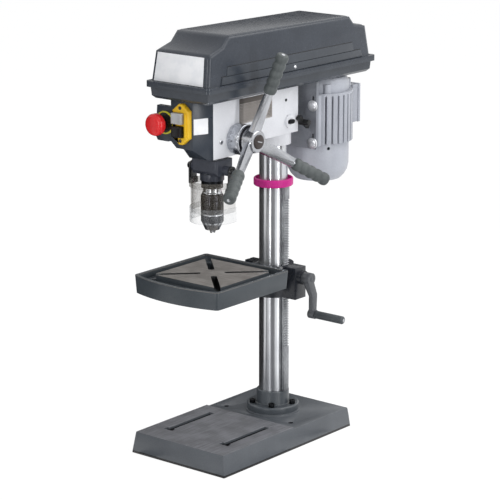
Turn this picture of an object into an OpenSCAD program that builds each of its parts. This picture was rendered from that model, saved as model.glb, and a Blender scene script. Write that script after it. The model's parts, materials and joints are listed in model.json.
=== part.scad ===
// Benchtop drill press: cast base, steel column, rack-raised tilting table, belt-driven spindle
// in a quill with a three-arm feed, sliding motor and hinged belt guard. Lengths are millimetres.
// The origin is on the column axis at the bench surface. +X is the operator's right, -Y the
// front and +Z up.

/* [Base] */
// Width of the base at the bench
base_w = 252; // [236:1:280]
// Distance from the column axis to the front edge of the base
base_front = 315; // [300:1:340]
// Distance from the column axis to the rear edge of the base
base_back = 113; // [104:1:130]
// Height of the machined front deck
deck_h = 46; // [43:1:47]
// Height of the painted rear deck
rear_h = 42; // [38:1:43]
// Inset of the top edge from the bottom edge at the front and rear
base_draft = 5.5; // [3:0.5:8]
// Inset of the sides below their crease
side_draft = 3.8; // [2:0.2:5]
// Lean of the sides above their crease in degrees
side_lean = 8.9; // [6:0.1:10]
// Thickness of the deck over the hollow underside
deck_t = 14; // [10:1:18]
// Thickness of the base walls
base_wall = 12; // [9:1:14]
// Distance from the column axis to the rear edge of the machined deck
deck_back = 80; // [76:1:90]
// Sideways offset of the T-slots
slot_x = 76; // [66:1:84]
// Width of the T-slots
slot_w = 13; // [10:0.5:16]
// Distance from the column axis to the front end of the T-slots
slot_front = 258; // [240:1:270]
// Distance from the column axis to the rear end of the T-slots
slot_back = 114; // [108:1:130]
// Width of the bolt entry at the front of a T-slot
entry_w = 24; // [20:1:30]
// Length of the bolt entry
entry_l = 12; // [8:1:16]
// Sideways offset of the bench bolt holes
bench_x = 89; // [84:1:94]
// Distance of the bench bolt holes in front of the column axis
bench_y = 50; // [44:1:56]
// Diameter of the bench bolt holes
bench_hole_d = 11; // [8:0.5:13]

/* [Column] */
// Diameter of the column
column_d = 60; // [58:0.5:61]
// Wall of the column tube
column_wall = 5; // [3:0.5:8]
// Height of the column's top end
column_top = 748; // [735:1:752]
// Diameter of the column pad on the base
pad_d = 118; // [118:1:140]
// Height of the column pad
pad_h = 46; // [45:0.5:50]
// Diameter of the foot flange
flange_d = 112; // [106:1:118]
// Thickness of the foot flange
flange_t = 14; // [11:1:17]
// Diameter of the foot collar
collar_d = 70; // [68:1:74]
// Height of the foot collar's top
collar_top = 90; // [82:1:96]
// Bolt circle of the foot bolts
foot_pcd = 90; // [86:1:94]
// Diameter of the foot bolts
foot_bolt_d = 8; // [6:1:8]

/* [Lift rack] */
// Module of the gear teeth
gear_m = 1.75; // [1.6:0.05:1.8]
// Width of the lift rack
rack_w = 16; // [13:1:17]
// Thickness of the lift rack
rack_t = 7; // [6.5:0.1:7.4]
// Height of the rack's upper end
rack_top = 545; // [530:1:560]
// Height of the lowest tooth gap
teeth_low = 185; // [180:1:220]
// Height of the highest tooth gap
teeth_high = 512; // [480:1:520]
// Outer diameter of the rack ring
ring_d = 84; // [82:1:90]
// Height of the rack ring
ring_h = 17; // [15:1:22]

/* [Table] */
// Width of the table
table_w = 226; // [214:1:230]
// Distance from the table's centre to its front corners
table_fore = 116; // [110:1:118]
// Distance from the table's centre to its rear edge
table_aft = 112; // [106:1:113]
// Height of the table's work face
table_z = 388; // [385:1:390]
// Width of the raised work face
plateau_w = 174; // [160:1:180]
// Height of the rim above the work face
rim_h = 1; // [0.5:0.5:4]
// Thickness of the rim
rim_t = 7; // [5:0.5:9]
// Depth of the moat below the work face
moat_depth = 12; // [8:0.5:13]
// Depth of the skirt below the rim
skirt_h = 38; // [34:1:42]
// Bow of the table's front wall
front_bow = 20; // [10:1:24]
// Inset of the skirt's lower edge
skirt_draft = 2.5; // [1:0.5:3]
// Width of the diagonal slots
table_slot_w = 13; // [10:0.5:15]
// Distance of the slots' inner ends from the table centre
table_slot_in = 31; // [26:1:40]
// Height of the tilt axis
tilt_z = 335; // [333:1:337]
// Diameter of the tilt bosses
tilt_d = 52; // [46:1:54]
// Diameter of the tilt pin
tilt_pin_d = 16; // [12:1:20]

/* [Table bracket] */
// Outer diameter of the bracket collar
bracket_d = 88; // [84:1:92]
// Height of the bracket's lower face
bracket_low = 303; // [300:1:306]
// Height of the bracket's upper face
bracket_high = 371; // [368:1:373]
// Width of the gear housing
gearbox_w = 36; // [34:1:40]
// Distance from the column axis to the gear housing's outer face
gearbox_x = 74; // [72:1:78]
// Height of the crank axis
crank_z = 350; // [350:0.5:351]
// Throw of the crank
crank_throw = 75; // [65:1:85]
// Diameter of the crank shaft
crank_shaft_d = 12; // [10:0.5:13]
// Length of the crank handle
handle_len = 72; // [60:1:85]
// Diameter of the crank handle
handle_d = 17; // [15:1:22]

/* [Head] */
// Distance from the column axis to the spindle axis
throat = 200; // [198:1:202]
// Width of the head casting
head_w = 80; // [80:1:83]
// Distance from the spindle axis to the head's front face
nose = 43; // [42:0.5:45]
// Distance from the column axis to the head's rear face
head_back = 32; // [32:0.5:34]
// Height of the head's lower face at the quill
head_low = 637; // [636:0.5:640]
// Height of the head's lower face at the column
head_step = 655; // [650:1:660]
// Height of the head's top face
head_top = 759; // [759:0.5:761]
// Diameter of the column boss under the head
boss_d = 74; // [72:1:78]
// Height of the column boss's lower face
boss_low = 630; // [624:1:634]
// Depth of the control housing in front of the head
cover_deep = 44; // [42:0.5:45]

/* [Quill and spindle] */
// Diameter of the quill
quill_d = 44; // [44:0.5:45]
// Height of the quill's lower end
quill_low = 585; // [585:0.5:586]
// Height of the quill's upper end
quill_high = 735; // [730:1:740]
// Diameter of the spindle
spindle_d = 18; // [16:0.5:19]
// Height of the feed axis
feed_z = 671; // [669:0.5:673]
// Teeth on the feed pinion
feed_teeth = 10; // [10:1:11]
// Diameter of the chuck sleeve
chuck_d = 47; // [44:1:50]
// Height of the chuck's top face
chuck_top = 569; // [567:0.5:570]
// Height of the jaw tips when closed
jaw_tip = 474; // [472:0.5:476]

/* [Chuck guard] */
// Inner radius of the guard shield
guard_r = 41.8; // [40:0.2:42.4]
// Thickness of the guard sheets
guard_t = 2.2; // [1.6:0.2:2.4]
// Height of the guard's lower edge
guard_low = 499; // [492:1:504]
// Height of the seam between the two guard sheets
guard_seam = 520; // [515:1:524]
// Height of the guard pivot
pivot_z = 608; // [606:0.5:610]

/* [Feed] */
// Diameter of the depth drum
drum_d = 64; // [56:1:66]
// Width of the depth drum
drum_w = 33; // [28:1:36]
// Width of the feed hub
hub_w = 25; // [22:1:28]
// Radius to the grip ends
arm_reach = 182; // [170:1:190]
// Radius to the start of the grips
grip_start = 102; // [96:1:108]
// Outward lean of the arms in degrees
arm_lean = 22.4; // [18:0.2:24]
// Diameter of the grips
grip_d = 27; // [22:0.5:29]

/* [Motor and drive] */
// Distance from the column axis to the motor axis
motor_y = 153; // [150:1:156]
// Radius of the motor body under the fins
motor_r = 62; // [61:0.5:63]
// Radius to the fin tips
fin_r = 75; // [72:0.5:76]
// Height of the motor body's lower end
motor_low = 616; // [612:1:619]
// Height of the motor body's upper end
motor_high = 725; // [721:1:727]
// Height of the fan cover's lower end
bell_low = 532; // [526:1:534]
// Number of fins around the motor
fin_count = 32; // [26:1:34]
// Diameter of the motor shaft
shaft_d = 16; // [14:1:17]
// Diameter of the slide rods
rod_d = 11; // [9:0.5:11.5]
// Height of the slide rods
rod_z = 674; // [671:1:677]
// Radius of the largest spindle pulley step
pulley_big = 57; // [55:0.5:58]
// Radius of the smallest motor pulley step
pulley_small = 27; // [25:0.5:28]
// Radius change from step to step
pulley_step = 5; // [4:0.5:5]

/* [Belt guard] */
// Half width of the guard at the rim
guard_half = 76; // [75:0.5:78]
// Half width of the lid's crown
crown_half = 69; // [67:0.5:72]
// Distance from the column axis to the lid's front
lid_front = 301; // [298:1:304]
// Distance from the column axis to the lid's rear
lid_back = 238; // [234:1:242]
// Height of the seam between tray and lid
seam_z = 789; // [788:0.5:790]
// Height of the lid's crown at its front
crown_z = 891; // [887:0.5:894]
// Wall of the tray and lid
shell_t = 2; // [1.5:0.25:3.5]
// Overhang of the rim
rim_out = 8; // [4:0.5:9]
// Thickness of each rim flange
rim_flange = 6; // [5:0.5:7]

/* [Controls] */
// Width of the yellow switch plate
plate_w = 42; // [40:1:44]
// Height of the yellow switch plate
plate_h = 83; // [80:1:84]
// Sideways centre of the switch plate
plate_x = 0; // [-1:0.5:1]
// Height of the controls' centre
control_z = 713.5; // [712:0.5:714.5]
// Width of a push button
button_w = 25.5; // [22:0.5:26]
// Height of a push button
button_h = 21.5; // [18:0.5:23]
// Sideways centre of the emergency stop
estop_x = -48.5; // [-50:0.5:-48]
// Diameter of the emergency stop's mushroom head
mushroom_d = 45; // [38:1:46]

/* [Hidden] */
$fn = 64;
// Clearances: running fit, sliding gap between bodies, and overshoot of a cut
fit = 0.05;
gap = 0.3;
over = 1;

// Gear tooth form
pressure = 25;
addendum = 0.8 * gear_m;
dedendum = 1.05 * gear_m;
backlash = 0.3;
pitch = PI * gear_m;

// Column, rack and lift gear
column_r = column_d / 2;
foot_top = pad_h + flange_t;
foot_fillet = 0.8;
rack_x = column_r + gap;
rack_tip = rack_x + rack_t;
rack_corner = norm([rack_tip, rack_w / 2]);
lift_teeth = 12;
lift_r = gear_m * lift_teeth / 2;
lift_x = rack_tip - addendum + lift_r;
lift_z = crank_z - 18;
ring_low = rack_top - 5;
ring_lip = rack_top + gap;

// Spindle, quill and feed
spindle_y = -throat;
quill_r = quill_d / 2;
feed_r = gear_m * feed_teeth / 2;
feed_y = spindle_y + quill_r - addendum + feed_r;
feed_shaft_r = feed_r - dedendum - 0.4;
feed_collar_r = feed_r + addendum + gap;
head_half = head_w / 2;
head_front = spindle_y - nose;
cover_front = head_front - cover_deep;
drum_x = head_half + gap;
hub_x = drum_x + drum_w;
hub_end = hub_x + hub_w;
bearing_r = quill_r - 5;
bearing_h = 13;
nut_r = 22.5;
clamp_y = 0;
clamp_z = 681;
set_y = -9;
set_z = 727;
stop_z = 670;

// Chuck
core_r = chuck_d / 2 - 5;
ring_z = 557;
sleeve_low = 497;
nose_low = 481;
jaw_lean = 15;
jaw_r = 2.5;
jaw_rho = 3.2;
jaw_len = 27;
jaw_travel = 18;

// Guard
carrier_half = 34;
carrier_deep = 27;
trunnion_x = 50;
trunnion_r = 10;
carrier_low = 598;
carrier_high = 630;
shield_top = 584;
band_low = shield_top - 12;
guard_back = 22;
shield_r = guard_r + guard_t;
extension_r = shield_r + gap;
yoke_r = shield_r + gap;
yoke_t = 2.7;
yoke_arm = 11;
pivot_r = 4;

// Motor and drive
plate_y = 73;
plate_t = 8;
plate_half = 57;
plate_low = motor_low - 5;
plate_high = head_top - 4;
rod_x = 17;
rod_in = 40;
motor_travel = 10;
block_half = 25;
block_back = 50;
lock_y = 42;
wing_x = 42;
wing_half = 21;
bolt_x = 48;
bolt_r = 5;
bolt_zs = [motor_low + 7.5, motor_low + 88];
stator_r = motor_r - 4;
fin_groove_w = 4.4;
fin_turn = -90 + 2.5 * 360 / fin_count;
motor_foot_t = 9;
foot_neck = 26;
pad_half = 28;
pad_low = 650;
terminal_half = 38;
terminal_low = 643;
terminal_high = motor_high + 2;
ear_turn = 55;
ear_r = 9;
fan_r = motor_r - 6;
fan_hub_r = 13;
fan_blade_h = 22;
fan_drop = 38;
rotor_r = 38;
shaft_r = shaft_d / 2;
flange_top = head_top - 2;
pulley_z = 795;
step_h = 15;
steps = 4;
groove = 7;
belt_step = 1;
hub_sleeve_r = 15;
pulley_seat_r = 26;
pulley_seat_h = 14;

// Belt guard
tray_low = head_top;
tray_taper = 2;
tray_cut = 6;
crown_fall = 5;
front_lean = 10;
flange_half = guard_half + rim_out;
hinge_x = -flange_half - 6;
hinge_r = 5;
hinge_pin_r = 2.5;
hinge_ys = [-240, 150];
knuckle_l = 14;

// Controls
cover_wall = 3;
cover_top = head_top - 1;
cover_low = control_z - 52;
cover_left = 34;
cover_right = 23;
chin_back_x = -19;
chin_front_x = -1;
chin_foot = 10;
ear_t = 12;
box_foot = 6;
corner_cut = 12;
corner_x = -20;
plate_t2 = 11;
button_gap = 0.4;
button_out = 8;
button_zs = [control_z - 15, control_z + 12];
button_x = plate_x - 5;
stem_r = 4;
block_y = cover_front + cover_wall;
block_t = 14;
box_left = -74;
box_low = control_z - 41.5;
box_high = control_z + 30.5;
estop_z = control_z - 3;
estop_hole_r = 11;
estop_ring_r = 23.5;
estop_neck = 13;
estop_stem_r = 8;
estop_deep = 36;
gland_x = -58;
gland_z = control_z - 23;

// Table and bracket
table_half = table_w / 2;
rim_z = table_z + rim_h;
moat_z = table_z - moat_depth;
table_under = moat_z - 8;
slot_rib = 6;
bow_r = (table_half * table_half + front_bow * front_bow) / (2 * front_bow);
arm_end = -84;
bracket_r = bracket_d / 2;
gearbox_half = gearbox_w / 2;
crank_boss_x = gearbox_x + 10;
arm_x = crank_boss_x + 6;
handle_x = arm_x + 26;
lock_x = -54;
lock_z = 354;
lever_turn = -110;
handle_z = crank_z - crank_throw;

// A box between two corners
module box(x0, x1, y0, y1, z0, z1) {
    translate([x0, y0, z0]) cube([x1 - x0, y1 - y0, z1 - z0]);
}

// Cylinders along each axis between two stations
module cyl_x(r, x0, x1, y, z) {
    translate([x0, y, z]) rotate([0, 90, 0]) cylinder(r = r, h = x1 - x0);
}

module cyl_y(r, y0, y1, x, z) {
    translate([x, y1, z]) rotate([90, 0, 0]) cylinder(r = r, h = y1 - y0);
}

module cyl_z(r, z0, z1, x = 0, y = 0) {
    translate([x, y, z0]) cylinder(r = r, h = z1 - z0);
}

// A side view outline in (y, z), extruded across the part
module side_profile(points, x0, x1) {
    translate([x0, 0, 0]) rotate([90, 0, 90]) linear_extrude(x1 - x0) polygon(points);
}

// A front view outline in (x, z), extruded from front to back
module front_profile(points, y0, y1) {
    translate([0, y1, 0]) rotate([90, 0, 0]) linear_extrude(y1 - y0) polygon(points);
}

// A plan rectangle with round corners
module round_rect(x0, x1, y0, y1, r) {
    translate([x0 + r, y0]) square([x1 - x0 - 2 * r, y1 - y0]);
    translate([x0, y0 + r]) square([x1 - x0, y1 - y0 - 2 * r]);
    for (x = [x0 + r, x1 - r], y = [y0 + r, y1 - r]) translate([x, y]) circle(r);
}

// Half width of a tooth gap at the tips and at the roots of a rack
gap_tip = pitch / 4 + backlash / 2 + addendum * tan(pressure);
gap_root = pitch / 4 + backlash / 2 - dedendum * tan(pressure);

// One tooth gap of a rack in (along, depth), with the tips at depth 0
function rack_gap(at) = [
    [at - gap_tip, 0], [at - gap_root, -addendum - dedendum],
    [at + gap_root, -addendum - dedendum], [at + gap_tip, 0]];

// Involute angle in degrees
function involute(a) = tan(a) * 180 / PI - a;

// Half angle of a gear tooth at a radius
function tooth_half(n, r) = let (
    rp = gear_m * n / 2,
    rb = rp * cos(pressure),
    at = max(r, rb))
    90 / n - backlash / 4 / rp * 180 / PI + involute(pressure) - involute(acos(rb / at));

// Plan outline of a spur gear with a tooth on the +X axis
module gear_outline(n) {
    rp = gear_m * n / 2;
    rb = rp * cos(pressure);
    tip = rp + addendum;
    root = rp - dedendum;
    flank = concat([root], [for (k = [0:4]) max(root, rb) + (tip - max(root, rb)) * k / 4]);
    polygon([for (i = [0:n - 1], side = [-1, 1], k = [0:5])
        let (r = side < 0 ? flank[k] : flank[5 - k], a = i * 360 / n + side * tooth_half(n, r))
        [r * cos(a), r * sin(a)]]);
}

// Cast base, hollow underneath, with a boss under the column and one at each bench bolt
module base() {
    half = base_w / 2;
    rib = 12;
    rib_y = -deck_back - rib;
    color("#666c72") difference() {
        union() {
            intersection() {
                side_profile([[-base_front, 0], [-base_front + base_draft, deck_h],
                    [-deck_back, deck_h], [-deck_back + deck_h - rear_h, rear_h],
                    [base_back - base_draft, rear_h], [base_back, 0]], -half, half);
                front_profile([[-half, 0], [-half + side_draft, deck_h], [half - side_draft, deck_h],
                    [half, 0]], -base_front, base_back);
                base_facet();
                mirror([1, 0, 0]) base_facet();
            }
            cyl_z(pad_d / 2, 0, pad_h);
        }
        for (side = [-1, 1]) {
            inner = half - base_wall - base_draft;
            difference() {
                union() {
                    box(min(side * rib / 2, side * inner), max(side * rib / 2, side * inner),
                        -base_front + base_wall + base_draft, rib_y - rib / 2, -over, deck_h - deck_t);
                    box(min(side * rib / 2, side * inner), max(side * rib / 2, side * inner),
                        rib_y + rib / 2, base_back - base_wall - base_draft, -over, rear_h - deck_t);
                }
                cyl_z(flange_d / 2, -2 * over, deck_h);
                cyl_z(bench_hole_d / 2 + 9, -2 * over, deck_h, side * bench_x, -bench_y);
            }
            box(side * slot_x - slot_w / 2, side * slot_x + slot_w / 2,
                -slot_front, -slot_back, -over, deck_h + over);
            box(side * slot_x - entry_w / 2, side * slot_x + entry_w / 2,
                -slot_front, -slot_front + entry_l, -over, deck_h + over);
            cyl_z(bench_hole_d / 2, -over, deck_h + over, side * bench_x, -bench_y);
        }
        foot_bolt_places() cyl_z(foot_bolt_d / 2 + fit, pad_h - 18, pad_h + over);
    }
}

// Space inside the leaning upper face of the base's right side; the crease rises to the rear
module base_facet() {
    translate([base_w / 2 - 0.5, -base_front + 15, 6]) rotate([0, 0, -0.24]) rotate([0, -side_lean, 0])
        box(-2 * base_w, 0, -base_w, 3 * base_w, -base_w, base_w);
}

// Places of the five foot bolts, one of them turned to the front right
module foot_bolt_places() {
    for (a = [0:72:288]) rotate(a - 55) translate([foot_pcd / 2, 0, 0]) children();
}

// Turned flange and collar that hold the column
module column_foot() {
    bore = column_r + fit;
    fr = flange_d / 2;
    cr = collar_d / 2;
    color("#666c72") difference() {
        rotate_extrude() polygon([[bore, pad_h], [fr, pad_h], [fr, foot_top - 2], [fr - 2, foot_top],
            [cr + foot_fillet, foot_top], [cr, foot_top + foot_fillet], [cr, collar_top - 1.5], [cr - 1.5, collar_top],
            [bore, collar_top]]);
        foot_bolt_places() cyl_z(foot_bolt_d / 2 + fit, pad_h - over, foot_top + over);
    }
}

// Five socket head bolts through the flange into the base
module foot_bolts() {
    color("#1c1c1e") foot_bolt_places() difference() {
        union() {
            cyl_z(foot_bolt_d / 2, pad_h - 16, foot_top + 1);
            cyl_z(foot_bolt_d / 2 + 2.5, foot_top, foot_top + foot_bolt_d);
        }
        translate([0, 0, foot_top + foot_bolt_d / 2]) cylinder(r = 3.4, h = foot_bolt_d, $fn = 6);
    }
}

// Ground steel tube
module column() {
    color("#c9ccd0") difference() {
        cyl_z(column_r, pad_h, column_top);
        cyl_z(column_r - column_wall, pad_h - over, column_top + over);
    }
}

// Toothed bar that lies against the column and turns round it with the table
module rack() {
    first = lift_z + (ceil((teeth_low - lift_z) / pitch) + 0.5) * pitch;
    count = floor((teeth_high - first) / pitch);
    cuts = [for (i = [0:count]) each rack_gap(first + i * pitch)];
    low = collar_top + gap;
    color("#8d9094") front_profile(concat([[rack_x, low], [rack_tip, low]],
        [for (p = cuts) [rack_tip + p[1], p[0]]],
        [[rack_tip, rack_top], [rack_x, rack_top]]), -rack_w / 2, rack_w / 2);
}

// Coloured ring pinned to the column, with a recess over the rack's end
module rack_ring() {
    r = ring_d / 2;
    bore = column_r + fit;
    recess = rack_corner + gap;
    top = ring_low + ring_h;
    color("#c2187f") rotate_extrude() polygon([[recess, ring_low], [r - 2, ring_low],
        [r, ring_low + 2], [r, top - 2], [r - 2, top], [recess, top], [recess, ring_lip + 5],
        [bore, ring_lip + 5], [bore, ring_lip], [recess, ring_lip]]);
}

// Cast head with bores for the quill, feed shaft, column and motor slide rods
module head_casting() {
    pocket_y = feed_y + feed_collar_r + 8;
    color("#d9dbda") difference() {
        union() {
            side_profile([[head_front, head_top], [head_front, head_low], [spindle_y + 50, head_low],
                [spindle_y + 70, head_step], [head_back, head_step], [head_back, head_top]],
                -head_half, head_half);
            cyl_z(boss_d / 2, boss_low, head_step + over);
            box(-block_half, block_half, head_back - over, block_back, rod_z - 14, head_top - 14);
            cyl_x(14, head_half - over, head_half + 6, clamp_y, clamp_z);
        }
        cyl_z(column_r + fit, boss_low - over, column_top + gap);
        cyl_z(quill_r + fit, head_low - over, quill_high + gap, 0, spindle_y);
        cyl_z(hub_sleeve_r + 2, quill_high - over, head_top + over, 0, spindle_y);
        cyl_z(pulley_seat_r + fit, head_top - pulley_seat_h, head_top + over, 0, spindle_y);
        cyl_x(feed_shaft_r + fit, -head_half - over, head_half, feed_y, feed_z);
        cyl_x(feed_collar_r + fit, -8, head_half + over, feed_y, feed_z);
        front_profile([[-head_half - over, head_low + 16], [-head_half - over, head_low - over],
            [-22, head_low - over]], head_front - over, spindle_y - quill_r - 2);
        box(-head_half + 8, head_half - 8, pocket_y, -column_r - 8, head_step + 8, head_top + over);
        for (side = [-1, 1])
            cyl_y(rod_d / 2 + fit, rod_in - motor_travel - gap, block_back + over, side * rod_x, rod_z);
        cyl_x(stem_r + fit, rod_x, block_half + over, lock_y, rod_z);
        head_screw_shanks(fit);
    }
}

// Shanks of the screws in the head's right side, with an allowance for their holes
module head_screw_shanks(extra) {
    cyl_x(5 + extra, column_r + gap, head_half + 7, clamp_y, clamp_z);
    cyl_x(3 + extra, column_r + gap + 1, head_half + 1, set_y, set_z);
    cyl_x(3 + extra, quill_r + 4, head_half + 1, spindle_y - 17, stop_z);
}

// Column lock bolt and two set screws
module head_screws() {
    color("#1c1c1e") {
        head_screw_shanks(0);
        hull() for (side = [-1, 1])
            cyl_x(4.4, head_half + 6, head_half + 10, clamp_y + 5 * side, clamp_z);
    }
}

// Outline of the front cover in (x, z)
// Upper part of the control housing, wider at the head than in front
module cover_box(inset) {
    back = head_front + (inset > 0 ? over : 0);
    translate([0, 0, cover_low + inset]) linear_extrude(cover_top - cover_low - 2 * inset)
        polygon([[-head_half + inset, back], [-cover_left + inset, cover_front + inset],
            [cover_right - inset, cover_front + inset], [head_half - inset, back]]);
}

// Chin of the control housing, which slopes back to the head's lower edge
module cover_chin() {
    intersection() {
        translate([0, 0, head_low]) linear_extrude(cover_low - head_low + over)
            polygon([[chin_back_x, head_front], [chin_front_x, cover_front], [cover_right, cover_front],
                [head_half, head_front]]);
        side_profile([[head_front, head_low], [head_front - chin_foot, head_low], [cover_front, cover_low],
            [cover_front, cover_low + over], [head_front, cover_low + over]], -head_half, head_half);
    }
}

// Moulded control housing with a box at its left for the emergency stop
module front_cover() {
    side = -cover_left + 4;
    color("#50565b") difference() {
        union() {
            cover_box(0);
            cover_chin();
            front_profile([[box_left + 3, box_high], [box_left - 1, box_low + 8], [box_left + 4, box_low],
                [side, box_low], [side, box_high]], cover_front, cover_front + ear_t);
            box(box_left + 4, side, cover_front + ear_t - 1, head_front, box_low + box_foot, box_high - ear_t);
        }
        cover_box(cover_wall);
        box(box_left + 4 + cover_wall, side, cover_front + cover_wall, head_front - cover_wall,
            box_low + box_foot + cover_wall, box_high - ear_t - cover_wall);
        front_profile([[-head_half - over, cover_low + corner_cut], [-head_half - over, cover_low - over],
            [corner_x + over, cover_low - over], [corner_x, cover_low], [-cover_left, cover_low + corner_cut]],
            cover_front - over, head_front + over);
        box(button_x - button_w / 2 - 1.5, button_x + button_w / 2 + 1.5, cover_front - over,
            block_y + over, button_zs[0] - button_h / 2 - 1.5, button_zs[1] + button_h / 2 + 1.5);
        cyl_y(estop_hole_r, cover_front - over, block_y + over, estop_x, estop_z);
        cyl_y(8 + fit, head_front - 2 * cover_wall, head_front + over, gland_x, gland_z);
    }
}

// Mains inlet gland at the back of the control box
module cable_gland() {
    color("#26282a") difference() {
        union() {
            cyl_y(8, head_front - 8, head_front + 4, gland_x, gland_z);
            translate([gland_x, head_front, gland_z]) rotate([-90, 0, 0]) cylinder(r = 11, h = 6, $fn = 6);
            cyl_y(8.5, head_front + 5, head_front + 18, gland_x, gland_z);
        }
        cyl_y(4, head_front - 9, head_front + 19, gland_x, gland_z);
    }
}

// Yellow plate with chamfered corners and two button windows
module switch_plate() {
    w = plate_w / 2;
    h = plate_h / 2;
    a = 17;
    b = 14;
    color("#f0c437") difference() {
        translate([plate_x, 0, control_z]) front_profile([[-w + a, -h], [w - a, -h], [w, -h + b],
            [w, h - b], [w - a, h], [-w + a, h], [-w, h - b], [-w, -h + b]],
            cover_front - plate_t2, cover_front);
        for (z = button_zs)
            box(button_x - button_w / 2 - button_gap, button_x + button_w / 2 + button_gap,
                cover_front - plate_t2 - over, cover_front + over,
                z - button_h / 2 - button_gap, z + button_h / 2 + button_gap);
    }
}

// Contact block behind the cover, with a guide bore for each button
module switch_block() {
    color("#303335") difference() {
        box(button_x - button_w / 2 - 4, button_x + button_w / 2 + 4, block_y, block_y + block_t,
            button_zs[0] - button_h / 2 - 4, button_zs[1] + button_h / 2 + 4);
        for (z = button_zs)
            cyl_y(stem_r + fit, block_y - over, block_y + block_t - 1, button_x, z);
    }
}

// A push button with its guide stem
module push_button(z) {
    front = cover_front - plate_t2 - button_out;
    back = cover_front - 3;
    difference() {
        union() {
            box(button_x - button_w / 2, button_x + button_w / 2, front, back, z - button_h / 2,
                z + button_h / 2);
            cyl_y(stem_r, back - over, block_y + block_t - 6, button_x, z);
        }
        translate([button_x, front - 36, z]) rotate([0, 90, 0])
            cylinder(r = 37, h = button_w - 6, center = true);
    }
}

module start_button() {
    color("#d7d9d8") push_button(button_zs[1]);
}

module stop_button() {
    color("#1a1b1d") push_button(button_zs[0]);
}

// Yellow ring, black neck and contact body of the emergency stop
module estop_base() {
    color("#e8c23a") difference() {
        union() {
            cyl_y(estop_ring_r, cover_front - 3, cover_front, estop_x, estop_z);
            cyl_y(17, cover_front - estop_neck, cover_front - 2, estop_x, estop_z);
            cyl_y(estop_hole_r - fit, cover_front - over, cover_front + estop_deep, estop_x, estop_z);
        }
        cyl_y(estop_stem_r + fit, cover_front - estop_neck - over, cover_front + estop_deep - 2, estop_x,
            estop_z);
    }
}

// Red mushroom head on its stem
module estop_button() {
    back = cover_front - estop_neck - 9;
    inside = cover_front + estop_deep - 9 - back;
    r = mushroom_d / 2;
    color("#d62b26") translate([estop_x, back, estop_z]) rotate([90, 0, 0]) rotate_extrude()
        polygon([[0, -inside], [estop_stem_r, -inside], [estop_stem_r, 0], [r - 3, 0], [r, 3], [r, 12],
            [r - 1.5, 15.5], [r - 5, 18], [r - 10, 19.2], [0, 20]]);
}

// Cup over the return spring on the head's left side
module spring_cap() {
    color("#50565b") difference() {
        cyl_x(32, -head_half - 24, -head_half, feed_y, feed_z);
        cyl_x(29, -head_half - 21, -head_half + over, feed_y, feed_z);
    }
}

// Flat spiral spring that lifts the quill
module return_spring() {
    turns = 5;
    inner = 9;
    outer = 29 - fit;
    strip = 1;
    function spiral(t, r) = [(r + (outer - inner) * t) * cos(360 * turns * t),
        (r + (outer - inner) * t) * sin(360 * turns * t)];
    ts = [for (i = [0:120]) i / 120];
    color("#7b7f83") translate([-head_half - 18, feed_y, feed_z]) rotate([90, 0, 90])
        linear_extrude(13) polygon(concat([for (t = ts) spiral(t, inner - strip)],
            [for (i = [120:-1:0]) spiral(i / 120, inner)]));
}

// Feed shaft with the pinion cut into it
module pinion_shaft() {
    color("#9b9ea2") {
        cyl_x(feed_shaft_r, -head_half - 18, 18, feed_y, feed_z);
        translate([-7, feed_y, feed_z]) rotate([0, 90, 0]) rotate(90 + 180 / feed_teeth)
            linear_extrude(14) gear_outline(feed_teeth);
        cyl_x(feed_collar_r, 17, drum_x, feed_y, feed_z);
        cyl_x(9, drum_x - 1, hub_end - 1, feed_y, feed_z);
    }
}

// Turned depth drum on the feed shaft
module depth_drum() {
    r = drum_d / 2;
    color("#9fa3a6") translate([drum_x, feed_y, feed_z]) rotate([0, 90, 0]) rotate_extrude()
        polygon([[9 + fit, 0], [r - 1, 0], [r, 1], [r, drum_w - 6], [r - 1.5, drum_w - 5],
            [r - 1.5, drum_w - 1], [r - 2.5, drum_w], [9 + fit, drum_w]]);
}

// Local frame of each feed arm, with +Z along the arm
module feed_arm_frames() {
    for (a = [2.5, 122.5, 242.5])
        translate([hub_x + 6, feed_y, feed_z]) rotate([-a, 0, 0]) rotate([0, arm_lean, 0]) children();
}

arm_len = arm_reach / cos(arm_lean);
grip_z = grip_start / cos(arm_lean);

// Cast hub with three flat arms that end in round tangs
module feed_hub() {
    color("#c3c6c8") difference() {
        union() {
            translate([hub_x, feed_y, feed_z]) rotate([0, 90, 0]) rotate_extrude()
                polygon([[0, 0], [27, 0], [27, 4], [23, hub_w - 2], [21, hub_w], [0, hub_w]]);
            feed_arm_frames() {
                hull() {
                    translate([-5.5, -14, 14]) cube([11, 28, 1]);
                    translate([-4.5, -9.5, grip_z - 1]) cube([9, 19, 1]);
                }
                cyl_z(5, grip_z - 2, arm_len - 10);
            }
        }
        cyl_x(9 + fit, hub_x - over, hub_end + over, feed_y, feed_z);
    }
}

// Moulded grips with finger ridges
module feed_grips() {
    steps_n = 45;
    ridges = 5;
    len = arm_len - grip_z;
    r = grip_d / 2;
    function ridge(t) = r - 2.2 + 2.2 * abs(sin(180 * ridges * t));
    color("#565c5b") feed_arm_frames() rotate_extrude() polygon(concat(
        [[5 + fit, grip_z], [r - 3, grip_z]],
        [for (i = [1:steps_n - 1]) [ridge(i / steps_n), grip_z + len * i / steps_n]],
        [[r - 3, arm_len], [0, arm_len], [0, arm_len - 8], [5 + fit, arm_len - 8]]));
}

// Dark cap on the end of the feed shaft
module hub_cap() {
    color("#3b3432") translate([hub_end, feed_y, feed_z]) rotate([0, 90, 0]) rotate_extrude()
        polygon([[0, 0], [15, 0], [15, 1.5], [13.5, 3], [0, 3.6]]);
}

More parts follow.
